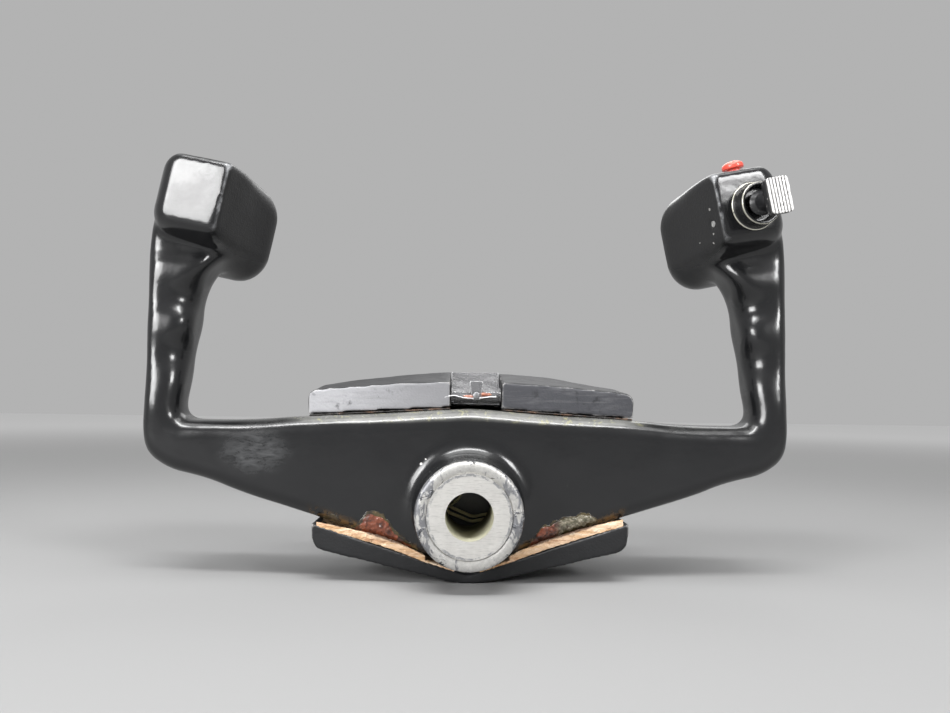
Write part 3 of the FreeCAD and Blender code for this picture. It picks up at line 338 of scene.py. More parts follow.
def black_coat():
    f = Finish("black_coat", Coat_Roughness=0.05, Coat_IOR=1.5, Specular_IOR_Level=0.45)
    cloud = f.noise(0.03, 4.0)
    fine = f.noise(0.0016, 3.0)
    grain_area = head_sides(f)
    grain = f.either(f.cells(0.0011, "SMOOTH_F1").outputs["Distance"], f.noise(0.0008, 2.0))
    thin_coat, scraped, smear = scraped_rim(f)
    bare = f.either(scraped, chipped_spots(f))
    top_edge = bar_top(f)
    film = f.both(top_edge, f.between(f.noise(0.010, 5.0, 0.6, 0.5), 0.1, 0.9))
    residue = f.both(top_edge, f.step(f.noise(0.005, 6.0, 0.7, 0.5), 0.54, 0.66))
    paint_spots = f.both(top_edge, f.step(f.noise(0.0022, 5.0, 0.7, 1.0), 0.66, 0.69))
    dust = f.both(f.step(f.facing((0, 0, 1)), 0.3, 0.95), f.step(cloud, 0.35, 0.75))
    stain = lip_stain(f)
    smear_sheen = smear_sheen_patch(f)

    colour = f.mix(cloud, (0.0050, 0.0052, 0.0058), (0.0085, 0.0088, 0.0096))
    colour = f.mix(f.both(dust, f.both(fine, 0.30)), colour, (0.20, 0.20, 0.19))
    colour = f.mix(grain_area, colour, (0.013, 0.013, 0.0135))
    colour = f.cover(colour, f.specks(0.0035, 0.22, 0.035), 0.55, (0.32, 0.31, 0.28))
    # Painted sheen: the smeared patch is painted lighter grey, partly a real smear and partly standing in for
    # reflected light
    colour = f.cover(colour, smear_sheen, 0.60, (0.085, 0.087, 0.090))
    # Pale film on the top edge: partly a residue film, partly a painted highlight for the edge's bright band
    colour = f.cover(colour, film, 0.50, (0.50, 0.50, 0.47))
    colour = f.cover(colour, residue, 0.45, (0.36, 0.34, 0.13))
    colour = f.mix(paint_spots, colour, (0.62, 0.60, 0.40))
    colour = f.cover(colour, stain, 0.8, (0.13, 0.075, 0.025))
    # Painted highlight: the heads' front edges are painted light, partly wear and partly standing in for
    # glints along them
    colour = f.cover(colour, head_edges(f), 0.55, (0.55, 0.56, 0.58))
    colour = f.cover(colour, thin_coat, 0.8, (0.11, 0.115, 0.13))
    bare_metal = f.mix(f.noise(0.0018, 5.0, 0.75), (0.26, 0.255, 0.25), (0.66, 0.65, 0.62))
    bare_metal = f.cover(bare_metal, smear, 0.75, (0.115, 0.12, 0.14))
    f.set("Base Color", f.mix(bare, colour, bare_metal))
    f.set("Metallic", f.both(bare, 0.75))

    rough = f.between(f.noise(0.010, 4.0), 0.15, 0.30)
    rough = f.math("ADD", rough, f.both(dust, 0.10))
    rough = f.math("ADD", rough, f.both(grain_area, 0.26))
    rough = f.math("ADD", rough, f.both(f.either(f.either(stain, residue), smear_sheen), 0.25))
    f.set("Roughness", f.either(rough, f.both(bare, 0.5)))
    coated = f.math("SUBTRACT", 1.0, f.either(f.either(bare, grain_area), stain))
    f.set("Coat Weight", f.both(coated, 0.25))

    relief = f.bump(f.noise(0.009, 2.0, 0.4), 0.00022, 0.7)
    relief = f.bump(f.noise(0.0021, 2.0, 0.5), 0.00003, 0.8, relief)
    relief = f.bump(f.both(grain, grain_area), 0.00022, 0.85, relief)
    relief = f.bump(scratches(f, 0.0012, 0, 22.0), 0.00001, 0.5, relief)
    relief = f.bump(f.math("SUBTRACT", 1.0, bare), 0.00018, 1.0, relief)
    f.set("Normal", relief)
    f.set("Coat Normal", f.bump(f.noise(0.010, 2.0, 0.4), 0.00022, 0.7))
    return f.material


def machined_aluminium():
    f = Finish("machined_aluminium", IOR=1.45)
    radius = f.radius((0, 0, 0), (0, 1, 0))
    face = f.step(f.depth, 0.0006, 0.0003)
    bore = f.both(f.step(radius, 0.0116, 0.0112), f.step(f.depth, 0.0002, 0.0008))
    rings = f.math("SINE", f.both(radius, 2 * math.pi / 0.00042))
    cloud = f.noise(0.007, 6.0, 0.65)
    level = scratches(f, 0.00050, 0, 12.0)
    slanted = f.noise(0.0011, 3.0, 0.7, 0.0, f.stretched((0.30, 1.0, 1.0)))
    colour = f.mix(cloud, (0.42, 0.41, 0.39), (0.64, 0.63, 0.605))
    colour = f.cover(colour, f.step(level, 0.50, 0.66), 0.40, (0.28, 0.275, 0.265))
    colour = f.cover(colour, f.step(slanted, 0.64, 0.76), 0.35, (0.30, 0.29, 0.28))
    dents = f.both(face, f.step(f.noise(0.0034, 5.0, 0.7, 1.2), 0.67, 0.72))
    colour = f.cover(colour, dents, 0.6, (0.20, 0.20, 0.20))

    # Broken dark line where the insert meets the boss
    wander = f.math("ADD", radius, f.between(f.noise(0.0030, 5.0, 0.7), -0.0013, 0.0013))
    ragged = f.step(f.noise(0.0055, 5.0, 0.7), 0.40, 0.56)
    line = f.both(f.band(wander, 0.0190, 0.0007), f.both(ragged, face))
    colour = f.cover(colour, line, 0.75, (0.16, 0.165, 0.18))

    # The bore is yellowed near its mouth and painted darker farther in: a painted shade deep in the bore
    chromate = f.mix(f.noise(0.004, 5.0), (0.46, 0.445, 0.32), (0.68, 0.665, 0.53))
    colour = f.mix(bore, colour, chromate)
    inside = f.math("ADD", f.depth, f.between(f.noise(0.006, 4.0), -0.004, 0.004))
    deep_bore_shade = f.both(bore, f.step(inside, 0.014, 0.040))
    colour = f.cover(colour, deep_bore_shade, 0.90, (0.045, 0.040, 0.026))
    f.set("Base Color", colour)
    f.set("Metallic", f.between(bore, 0.60, 0.25))
    f.set("Roughness", f.between(f.noise(0.0025, 4.0, 0.7), 0.38, 0.60))
    marks = f.bump(f.both(rings, face), 0.00001, 0.9)
    marks = f.bump(level, 0.00004, 0.9, marks)
    marks = f.bump(scratches(f, 0.0009, 2, 18.0), 0.00003, 0.7, marks)
    marks = f.bump(f.either(dents, line), 0.00012, -1.0, marks)
    f.set("Normal", marks)
    return f.material


def pad_cover():
    f = Finish("pad_cover", Specular_IOR_Level=0.34)
    cloud = f.noise(0.022, 4.0)
    fine = f.noise(0.0011, 3.0, 0.6)
    grain = f.cells(0.00105, "SMOOTH_F1").outputs["Distance"]
    across = f.along((1, 0, 0))
    front = f.both(f.step(f.facing((0, -1, 0)), 0.60, 0.90), f.step(f.depth, 0.046, 0.043))
    lips = f.both(front, f.step(f.height, 0.036, 0.040))
    dust = f.both(f.step(f.facing((0, 0, 1)), 0.2, 0.9), f.between(cloud, 0.2, 0.8))
    specks = f.specks(0.004, 0.25, 0.05)
    streaks = f.noise(0.0020, 5.0, 0.7, 0.3, f.stretched((0.10, 1.0, 1.0)))
    blotches = f.noise(0.009, 5.0, 0.65)

    colour = f.mix(cloud, (0.008, 0.0083, 0.009), (0.014, 0.0143, 0.0155))
    colour = f.cover(colour, dust, 0.40, (0.085, 0.085, 0.09))

    # The upper lips' fronts are painted lighter grey, most of all the one at -X and fading toward +X: a
    # painted sheen standing in for reflected light, laid in blotches with scuffed streaks of wear
    lip_sheen_and_wear = f.mix(f.step(across, -0.078, -0.012), (0.37, 0.37, 0.385), (0.22, 0.22, 0.23))
    lip_sheen_and_wear = f.mix(f.step(across, 0.000, 0.004), lip_sheen_and_wear, (0.052, 0.053, 0.060))
    lip_sheen_and_wear = f.cover(lip_sheen_and_wear, f.step(streaks, 0.46, 0.70), 0.30, (0.17, 0.17, 0.175))
    sheen_and_wear_patches = f.step(blotches, 0.24, 0.44)
    colour = f.mix(f.both(lips, f.both(sheen_and_wear_patches, 0.92)), colour, lip_sheen_and_wear)
    marks = f.both(lips, f.step(f.noise(0.0016, 4.0, 0.7, 0.6), 0.69, 0.73))
    colour = f.mix(marks, colour, (0.03, 0.03, 0.03))

    # Light line along the edges
    edge = f.both(f.edges(0.525, 0.560), f.step(f.noise(0.003, 5.0, 0.7), 0.40, 0.56))
    edge = f.both(edge, f.step(f.height, -0.020, -0.005))
    colour = f.cover(colour, edge, 0.55, (0.50, 0.49, 0.48))
    colour = f.cover(colour, specks, 0.6, (0.26, 0.25, 0.23))
    f.set("Base Color", colour)
    f.set("Roughness", f.between(f.noise(0.007, 4.0, 0.6), 0.42, 0.60))
    relief = f.bump(grain, 0.00016, 0.55)
    relief = f.bump(fine, 0.00008, 0.55, relief)
    relief = f.bump(f.noise(0.014, 2.0, 0.4), 0.0005, 0.5, relief)
    relief = f.bump(marks, 0.0002, -1.0, relief)
    f.set("Normal", relief)
    return f.material


def dried_adhesive():
    f = Finish("dried_adhesive", IOR=1.5)
    below = f.math("SUBTRACT", f.lower_edge, f.height)
    streak = f.noise(0.0016, 6.0, 0.7, 0.3, f.stretched((0.12, 1.0, 1.0)))
    wide = f.noise(0.0040, 4.0, 0.6, 0.3, f.stretched((0.15, 1.0, 1.0)))
    lumps = f.noise(0.0011, 5.0, 0.7)
    colour = f.mix(f.step(wide, 0.36, 0.62), (0.50, 0.30, 0.15), (0.70, 0.50, 0.34))
    colour = f.cover(colour, f.step(streak, 0.54, 0.62), 0.8, (0.80, 0.66, 0.50))
    colour = f.cover(colour, f.step(streak, 0.46, 0.38), 0.7, (0.32, 0.13, 0.055))
    colour = f.cover(colour, f.step(lumps, 0.60, 0.72), 0.5, (0.62, 0.46, 0.14))
    ragged = f.between(f.noise(0.0030, 5.0, 0.7), -0.0008, 0.0008)
    # Painted shadow: dark brown on the bead's top, where it runs up under the crossbar's lower edge
    edge_shadow = f.step(f.math("ADD", below, ragged), -0.0012, -0.0022)
    colour = f.cover(colour, edge_shadow, 0.92, (0.045, 0.018, 0.009))
    # Painted shade: the strips under the upper lips are painted near black in patches, where the lips shade
    # them
    patches = f.noise(0.0045, 5.0, 0.7, 0.5, f.stretched((0.45, 1.0, 1.0)))
    under_lip_shade = f.both(f.step(f.height, 0.034, 0.036), f.step(patches, 0.60, 0.50))
    colour = f.mix(under_lip_shade, colour, (0.012, 0.010, 0.009))
    f.set("Base Color", colour)
    f.set("Roughness", f.between(lumps, 0.40, 0.75))
    relief = f.bump(streak, 0.0004, 0.8)
    f.set("Normal", f.bump(lumps, 0.0003, 0.8, relief))
    return f.material


def amber_glue(name="amber_glue", dark=(0.045, 0.013, 0.007), light=(0.18, 0.046, 0.020), pale_from=0.042):
    """Clear brown-red glue that has run over the coat, grey and crusted beyond pale_from along X."""
    f = Finish(name, Coat_Weight=0.5, Coat_Roughness=0.12, IOR=1.5)
    thick = f.noise(0.0036, 4.0, 0.6, 0.5)
    fine = f.noise(0.0010, 4.0, 0.65)
    pale = f.both(f.step(f.along((1, 0, 0)), pale_from, pale_from + 0.005), f.step(thick, 0.26, 0.42))
    colour = f.mix(f.step(thick, 0.38, 0.62), dark, light)
    colour = f.cover(colour, f.step(fine, 0.60, 0.74), 0.45, (0.42, 0.20, 0.12))
    crumbs = f.step(f.noise(0.0018, 5.0, 0.7, 0.6), 0.42, 0.64)
    crusted = f.mix(crumbs, (0.075, 0.068, 0.040), (0.26, 0.23, 0.17))
    colour = f.mix(pale, colour, crusted)
    f.set("Base Color", colour)
    f.set("Roughness", f.between(fine, 0.20, 0.48))
    f.set("Normal", f.bump(fine, 0.0002, 0.9))
    return f.material


def clear_plastic():
    f = Finish("clear_plastic", IOR=1.46, Coat_Weight=0.4, Coat_Roughness=0.08)
    haze = f.noise(0.0045, 5.0, 0.65, 0.5)
    fine = f.noise(0.0008, 4.0, 0.7)
    edge = f.both(f.edges(0.515, 0.560), f.step(f.noise(0.003, 4.0, 0.65), 0.28, 0.44))
    colour = f.mix(haze, (0.46, 0.46, 0.47), (0.24, 0.24, 0.25))
    colour = f.cover(colour, f.step(fine, 0.60, 0.74), 0.4, (0.70, 0.70, 0.70))
    # Painted highlight: the sheet's outer edges are painted near white and made less clear, standing in for
    # glints along them
    colour = f.mix(edge, colour, (0.92, 0.92, 0.93))
    f.set("Base Color", colour)
    f.set("Transmission Weight", f.between(edge, 0.78, 0.10))
    f.set("Roughness", f.between(haze, 0.12, 0.36))
    relief = f.bump(f.noise(0.0032, 3.0), 0.0005, 0.8)
    f.set("Normal", f.bump(scratches(f, 0.0007, 0, 12.0), 0.00004, 0.8, relief))
    return f.material


def worn_black(name, colour, rough, edge_colour, low, high, origin=None, rings=()):
    """Black part whose outer edges, or named rings (radius, height) on an axis, are worn bright."""
    f = Finish(name)
    cloud = f.noise(0.004, 4.0)
    fine = f.noise(0.0007, 3.0, 0.7)
    shade = f.mix(cloud, colour, tuple(c * 1.8 for c in colour))
    shade = f.mix(f.step(fine, 0.60, 0.75), shade, (0.07, 0.07, 0.068))
    worn = f.both(f.edges(low, high), f.step(f.noise(0.0024, 4.0, 0.6), 0.30, 0.48))
    if rings:
        radius = f.radius(origin, SWITCH_AXIS)
        height = f.along(SWITCH_AXIS, tuple(origin))
        for r, h, half in rings:
            near = f.both(f.band(radius, r * MM, half * MM), f.band(height, h * MM, half * MM))
            worn = f.either(worn, f.both(near, f.step(f.noise(0.0016, 3.0, 0.6), 0.30, 0.44)))
    shade = f.mix(worn, shade, edge_colour)
    f.set("Base Color", shade)
    f.set("Metallic", f.both(worn, 0.7))
    f.set("Roughness", f.between(cloud, rough, rough + 0.16))
    f.set("Normal", f.bump(fine, 0.00005, 0.6, f.bump(f.noise(0.003, 2.0), 0.0001, 0.5)))
    return f.material


def metal(name, colour, rough, size, dirt_share=0.25, metallic=1.0):
    f = Finish(name)
    cloud = f.noise(size * 6, 4.0)
    fine = f.noise(size, 4.0, 0.65)
    shade = f.mix(cloud, tuple(c * 0.75 for c in colour), tuple(min(1, c * 1.12) for c in colour))
    shade = f.cover(shade, f.step(fine, 0.55, 0.8), dirt_share * 2, (0.10, 0.09, 0.075))
    f.set("Base Color", shade)
    f.set("Metallic", metallic)
    f.set("Roughness", f.between(fine, rough, rough + 0.22))
    f.set("Normal", f.bump(fine, size * 0.03, 0.7))
    return f.material


def cap_grey():
    """Finger cap, worn to silver on its ribs, black on its sides and darker between the ribs."""
    f = Finish("cap_grey", Specular_IOR_Level=0.6)
    height = f.along(SWITCH_AXIS, tuple(SWITCH))
    ribbed = f.step(height, 0.0221, 0.0226)
    crest = f.step(height, 0.0233, 0.0237)
    rub = f.noise(0.0015, 5.0, 0.7, 0.0, f.stretched((1.0, 1.0, 0.35)))
    fine = f.noise(0.0005, 4.0, 0.7)
    shade = f.mix(rub, (0.36, 0.355, 0.35), (0.68, 0.67, 0.66))
    shade = f.cover(shade, crest, 0.6, (0.72, 0.71, 0.70))
    shade = f.cover(shade, f.step(fine, 0.58, 0.70), 0.5, (0.34, 0.33, 0.33))
    groove = f.step(height, 0.02376, 0.02346)
    shade = f.cover(shade, groove, 0.92, (0.030, 0.028, 0.028))
    black = f.mix(f.step(rub, 0.60, 0.66), (0.012, 0.012, 0.013), (0.36, 0.35, 0.34))
    shade = f.mix(ribbed, black, shade)
    f.set("Base Color", shade)
    f.set("Metallic", f.both(ribbed, 0.2))
    f.set("Roughness", f.between(rub, 0.30, 0.50))
    f.set("Normal", f.bump(rub, 0.00008, 0.6))
    return f.material


def plastic(name, colour, rough, size):
    f = Finish(name)
    cloud = f.noise(size * 8, 4.0)
    fine = f.noise(size, 3.0, 0.6)
    shade = f.mix(cloud, colour, tuple(min(1, c * 1.5) for c in colour))
    shade = f.cover(shade, f.step(fine, 0.6, 0.8), 0.25, tuple(c * 0.5 for c in colour))
    f.set("Base Color", shade)
    f.set("Roughness", f.between(fine, rough, rough + 0.2))
    f.set("Normal", f.bump(fine, size * 0.08, 0.6))
    return f.material


def button_red():
    f = Finish("button_red", Coat_Weight=0.35, Coat_Roughness=0.12)
    rub = f.noise(0.0022, 4.0, 0.6)
    shade = f.mix(rub, (0.72, 0.055, 0.035), (0.86, 0.115, 0.075))
    # Painted highlight: the button's upward-facing top is painted whitish pink
    top = f.both(f.step(f.facing(HEAD_UP), 0.55, 0.90), f.step(f.noise(0.0020, 4.0, 0.65), 0.40, 0.60))
    shade = f.cover(shade, top, 0.65, (0.90, 0.46, 0.38))
    f.set("Base Color", shade)
    f.set("Roughness", f.between(rub, 0.26, 0.48))
    f.set("Normal", f.bump(f.noise(0.0010, 3.0), 0.00006, 0.6))
    return f.material


FINISHES = {
    "black_coat": black_coat(),
    "machined_aluminium": machined_aluminium(),
    "pad_cover": pad_cover(),
    "dried_adhesive": dried_adhesive(),
    # plate_steel is dark grey, partly a painted shade for where it shows at the back of the bore
    "plate_steel": metal("plate_steel", (0.13, 0.13, 0.13), 0.42, 0.0012),
    "screw_steel": metal("screw_steel", (0.62, 0.62, 0.61), 0.34, 0.0005, dirt_share=0.4, metallic=0.6),
    "clear_plastic": clear_plastic(),
    "rivet_metal": metal("rivet_metal", (0.36, 0.36, 0.37), 0.24, 0.0005, dirt_share=0.45),
    "collar_black": worn_black(
        "collar_black",
        (0.010, 0.010, 0.0105),
        0.16,
        (0.66, 0.64, 0.55),
        0.62,
        0.75,
        SWITCH,
        ((10.45, 7.9, 0.45), (12.0, 0.9, 0.35)),
    ),
    "housing_plastic": plastic("housing_plastic", (0.028, 0.028, 0.028), 0.45, 0.0007),
    "pin_steel": metal("pin_steel", (0.6, 0.6, 0.6), 0.22, 0.0004),
    "cap_grey": cap_grey(),
    "lever_dark": worn_black("lever_dark", (0.014, 0.014, 0.015), 0.22, (0.45, 0.44, 0.40), 0.60, 0.72),
    "spring_steel": metal("spring_steel", (0.55, 0.55, 0.55), 0.25, 0.0004),
    "terminal_brass": metal("terminal_brass", (0.70, 0.55, 0.30), 0.30, 0.0004),
    "button_red": button_red(),
    "button_metal": metal("button_metal", (0.50, 0.50, 0.50), 0.30, 0.0005),
    "wire_beige": plastic("wire_beige", (0.44, 0.40, 0.25), 0.46, 0.0006),
    "grommet_rubber": plastic("grommet_rubber", (0.020, 0.020, 0.020), 0.60, 0.0006),
    "splice_sleeve": plastic("splice_sleeve", (0.46, 0.43, 0.36), 0.50, 0.0006),
}
AMBER = amber_glue()
GLUE_EDGE = amber_glue("glue_edge", (0.012, 0.009, 0.004), (0.060, 0.044, 0.014), 1.0)
ORANGE_GLUE = amber_glue("orange_glue", (0.20, 0.05, 0.025), (0.48, 0.19, 0.11), 1.0)
SLOT_OF = {row["node"]: row["material_slot"] for row in frame["record"]["subparts"]}
for node, finish in SLOT_OF.items():
    solid = frame["nodes"][node]
    for place in solid.material_slots:
        place.material = FINISHES[finish]
    if not solid.material_slots:
        solid.data.materials.append(FINISHES[finish])


# Making and changing pieces
def new_piece(name, mesh, material):
    piece = bpy.data.objects.new(name, mesh)
    bpy.context.scene.collection.objects.link(piece)
    mesh.materials.clear()
    mesh.materials.append(material)
    return piece


def finished(work, name):
    """A mesh of that name from a bmesh, which is freed."""
    mesh = bpy.data.meshes.new(name)
    work.to_mesh(mesh)
    work.free()
    return mesh


def bake(piece):
    """Applies the piece's modifiers to its mesh."""
    graph = bpy.context.evaluated_depsgraph_get()
    mesh = bpy.data.meshes.new_from_object(piece.evaluated_get(graph))
    materials = list(piece.data.materials)
    piece.modifiers.clear()
    piece.data = mesh
    mesh.materials.clear()
    for material in materials:
        mesh.materials.append(material)
    for polygon in mesh.polygons:
        polygon.use_smooth = True


def thicken(piece, thickness):
    """Gives a sheet a thickness, rounds it and applies both."""
    piece.modifiers.new("solid", "SOLIDIFY").thickness = thickness
    subdivide = piece.modifiers.new("subdivide", "SUBSURF")
    subdivide.levels = 1
    subdivide.render_levels = 1
    bake(piece)


def add_smoothing(piece, rounds):
    smooth = piece.modifiers.new("smooth", "SMOOTH")
    smooth.factor = 0.5
    smooth.iterations = rounds
    return smooth


def softened(node, name, voxel, rounds):
    """A piece with the node's shape and rounded edges, which stands for the node."""
    work = bmesh.new()
    work.from_mesh(frame["nodes"][node].data)
    bmesh.ops.remove_doubles(work, verts=work.verts, dist=2e-6)
    piece = new_piece(name, finished(work, name), FINISHES[SLOT_OF[node]])
    remesh = piece.modifiers.new("remesh", "REMESH")
    remesh.mode = "VOXEL"
    remesh.voxel_size = voxel
    add_smoothing(piece, rounds)
    bake(piece)
    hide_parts(node)
    return piece


def smooth_where(piece, weight, rounds):
    """Smooths a piece more where weight(x, y, z), arrays in mm, is above 0."""
    points = coordinates(piece) / MM
    share = np.clip(weight(*points.T), 0, 1)
    group = piece.vertex_groups.new(name="smooth")
    levels = np.round(share * 10).astype(int)
    for level in range(1, 11):
        chosen = np.nonzero(levels == level)[0].tolist()
        if chosen:
            group.add(chosen, level / 10, "REPLACE")
    add_smoothing(piece, rounds).vertex_group = "smooth"
    bake(piece)
    piece.vertex_groups.clear()


def coordinates(piece):
    flat = np.empty(len(piece.data.vertices) * 3)
    piece.data.vertices.foreach_get("co", flat)
    return flat.reshape(-1, 3)


def move_points(piece, points):
    piece.data.vertices.foreach_set("co", points.astype(np.float32).ravel())
    piece.data.update()


def uneven(piece, size, height, seed):
    """Moves the surface in and out by smooth noise."""
    offset = Vector((seed, seed * 0.7, seed * 1.3))
    lifts = np.array([noise.noise(v.co / size + offset) for v in piece.data.vertices])
    normals = np.array([v.normal[:] for v in piece.data.vertices])
    move_points(piece, coordinates(piece) + normals * (lifts * height)[:, None])


def near(value, middle, half):
    """1 around the middle, falling to 0 a little past half to either side."""
    return np.clip(1.4 - np.abs(value - middle) / half, 0, 1)


def casting_blends(x, y, z):
    """Where the casting's junctions are filled softly: horns' roots, lower corners and the boss's foot."""
    x = np.abs(x)
    root = near(z, 131, 17) * np.clip((x - 112) / 8, 0, 1) * np.clip((164 - x) / 2.0, 0, 1) * (z < 148)
    root = root * np.clip((150 - z - 0.25 * (140 - x)) / 8, 0, 1)
    corner = near(z, 47, 9) * near(x, 141, 12)
    boss_foot = near(np.hypot(x, z), 31, 6) * (y > 14) * (y < 33)
    return np.maximum(np.maximum(root, corner), boss_foot)


# Pieces whose edges are softened from the CAD solid they replace
casting = softened("wheel_casting", "casting", 1.15 * MM, 3)
smooth_where(casting, casting_blends, 22)
uneven(casting, 16 * MM, 0.16 * MM, 3.0)
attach(casting, "wheel")

# Node, piece, voxel in mm, rounds of smoothing and body
SOFTENED = (
    ("switch_collar", "collar", 0.30, 2, "wheel"),
    ("switch_lever", "lever", 0.25, 3, "trim_switch"),
    ("switch_cap", "finger_cap", 0.22, 3, "trim_switch"),
    ("button_cap", "button_top", 0.25, 4, "push_button"),
    ("button_bezel_nut", "button_bezel", 0.22, 1, "wheel"),
    ("chart_clip", "clip_sheet", 0.32, 3, "wheel"),
    ("chart_clip_tab", "clip_tab", 0.20, 2, "wheel"),
    ("chart_clip_rivet", "clip_rivet", 0.20, 2, "wheel"),
)
# Size and height in mm, and seed, of the waves on the pieces that have them
WAVES = {"finger_cap": (1.6, 0.10, 2.0), "clip_sheet": (7, 0.25, 5.0)}
for node, name, voxel, rounds, body in SOFTENED:
    piece = softened(node, name, voxel * MM, rounds)
    if name in WAVES:
        size, height, seed = WAVES[name]
        uneven(piece, size * MM, height * MM, seed)
    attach(piece, body)


# Springs: copies of the nodes' meshes, with their ends found along their axes
def spring_copy(node, name):
    """A copy of the node's mesh, which stands for the node."""
    piece = new_piece(name, frame["nodes"][node].data.copy(), FINISHES[SLOT_OF[node]])
    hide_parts(node)
    return piece


def ends_along(piece, axis):
    """The middle of the piece's two ends along axis, the lower one first."""
    points = coordinates(piece)
    heights = points @ np.array(axis)
    middle = Vector(points.mean(axis=0))
    return [middle + axis * (height - middle.dot(axis)) for height in (heights.min(), heights.max())]


button_coil = spring_copy("button_spring", "button_coil")
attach(button_coil, "wheel")
coil_foot, coil_top = ends_along(button_coil, HEAD_UP)
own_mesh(button_coil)
centring_coil = spring_copy("switch_centring_spring", "centring_coil")
coil_foot, coil_top = ends_along(centring_coil, SWITCH_AXIS)
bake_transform(centring_coil)


# Centre pad: its middle, the half sizes of its crown and the crown's height, in mm
PAD_MIDDLE = (1.4, 17.0)
PAD_HALF = (78.0, 50.0)
PAD_CROWN = 2.2


def falling_off(values, middle, half):
    """1 at the middle and 0 at half to either side, values in metres and the others in mm."""
    return 1 - np.clip(np.abs(values - middle * MM) / (half * MM), 0, 1) ** 2


pad = softened("center_pad", "pad", 1.0 * MM, 6)
points = coordinates(pad)
toward_pilot = np.clip((points[:, 1] - 0.070) / 0.014, 0, 1)
swell = falling_off(points[:, 0], PAD_MIDDLE[0], PAD_HALF[0])
swell *= falling_off(points[:, 2], PAD_MIDDLE[1], PAD_HALF[1])
points[:, 1] += toward_pilot * swell * PAD_CROWN * MM
move_points(pad, points)
uneven(pad, 20 * MM, 0.5 * MM, 8.0)
uneven(pad, 5 * MM, 0.12 * MM, 4.0)
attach(pad, "wheel")


# Dried adhesive: lumpy strips under the lips, the lower ones drawn on toward the hub by HUB_REACH, and
# glue that ran over the casting
HUB_REACH = 8.5 * MM
strips = softened("adhesive_strips", "glue_strips", 0.30 * MM, 2)
points = coordinates(strips)
side = np.abs(points[:, 0])
lip_line = LIP_LOW * MM + side * EDGE_SLOPE
low_run = points[:, 2] < 0.010
left_taper = 1 - 0.60 * np.clip((side - 0.044) / 0.033, 0, 1)
right_taper = 1 - 0.30 * np.clip((side - 0.055) / 0.024, 0, 1)
by_hub = np.clip((0.036 - side) / 0.007, 0, 1)
thickness = np.where(points[:, 0] < 0, left_taper, right_taper) * (1 - 0.30 * by_hub)
points[:, 2] = np.where(low_run, lip_line + (points[:, 2] - lip_line) * thickness, points[:, 2])
inward = np.where(low_run, by_hub * HUB_REACH, 0)
points[:, 0] -= np.sign(points[:, 0]) * inward
points[:, 2] -= inward * EDGE_SLOPE
move_points(strips, points)
uneven(strips, 1.8 * MM, 0.30 * MM, 1.0)
uneven(strips, 0.7 * MM, 0.16 * MM, 6.0)
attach(strips, "wheel")

# The films' grid in mm, their thickness, and how deep the casting's front goes
FILM_CELL = 0.5
FILM_THICKNESS = 0.45 * MM
FRONT_DEPTH = 0.06
casting_tree = BVHTree.FromObject(casting, bpy.context.evaluated_depsgraph_get())


def film_height(x, z, inside, height, seed):
    """Height of a lumpy film above what carries it, in mm, which falls off at its edge."""
    lumps = 0.7 + 0.6 * noise.noise(Vector((x / 1.3, seed + 9, z / 1.3)))
    return max(min(inside / 1.5, 1) * height * lumps, 0.02)


def glue_film(name, x0, x1, z0, z1, outline, height, seed, material):
    """A thin film on the casting's front, seen from the front between x0, x1 and z0, z1 in mm.
    outline(x, z) is above 0 inside its edge."""
    columns = int((x1 - x0) / FILM_CELL) + 1
    rows = int((z1 - z0) / FILM_CELL) + 1
    work = bmesh.new()
    made = {}
    for i in range(columns):
        for j in range(rows):
            x = x0 + FILM_CELL * i
            z = z0 + FILM_CELL * j
            wander = noise.noise(Vector((x / 3.0, seed, z / 3.0))) + 0.25 * noise.noise(Vector((x, seed, z)))
            inside = outline(x, z) + 0.9 * wander
            if inside <= 0:
                continue
            hit, normal, _, _ = casting_tree.ray_cast(Vector((x * MM, -0.05, z * MM)), Vector((0, 1, 0)))
            if hit is None or hit.y > FRONT_DEPTH:
                continue
            made[i, j] = work.verts.new(hit + normal * (film_height(x, z, inside, height, seed) * MM))
    for i, j in list(made):
        corners = [made.get(key) for key in ((i, j), (i + 1, j), (i + 1, j + 1), (i, j + 1))]
        if all(corners):
            work.faces.new(corners)
    bmesh.ops.delete(work, geom=[v for v in work.verts if not v.link_faces], context="VERTS")
    piece = new_piece(name, finished(work, name), material)
    thicken(piece, FILM_THICKNESS)
    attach(piece, "wheel")


def lower_edge(x):
    """Height of the crossbar's lower edge at x, in mm."""
    return EDGE_LOW + abs(x) * EDGE_SLOPE


def dome(x, middle, half, height, power=2):
    """Height of a rounded heap at x, in mm."""
    return height * math.exp(-((abs(x - middle) / half) ** power))


def run_left(x, z):
    """The glue left of the hub, as glue_film's outline."""
    rise = z - lower_edge(x)
    peak = dome(x, -45.5, 8.0, 11.5, 3) + dome(x, -34.0, 7.5, 4.5) + 0.6
    return min(peak - rise, (x + 62) / 3, (-26 - x) / 3) * 0.55


def run_right(x, z):
    """The glue right of the hub."""
    rise = z - lower_edge(x)
    peak = dome(x, 39.0, 7.5, 9.5, 3) + dome(x, 54.0, 10.0, 9.5, 4)
    return min(peak - rise, rise - 2.6 if x > 46 else 3, (68 - x) / 3, (x - 28) / 3) * 0.6


def run_end(x, z):
    """The small run at the lip's left end."""
    rise = z - lower_edge(x)
    return min(dome(x, -66.0, 4.5, 5.5) - rise, 2) * 0.6


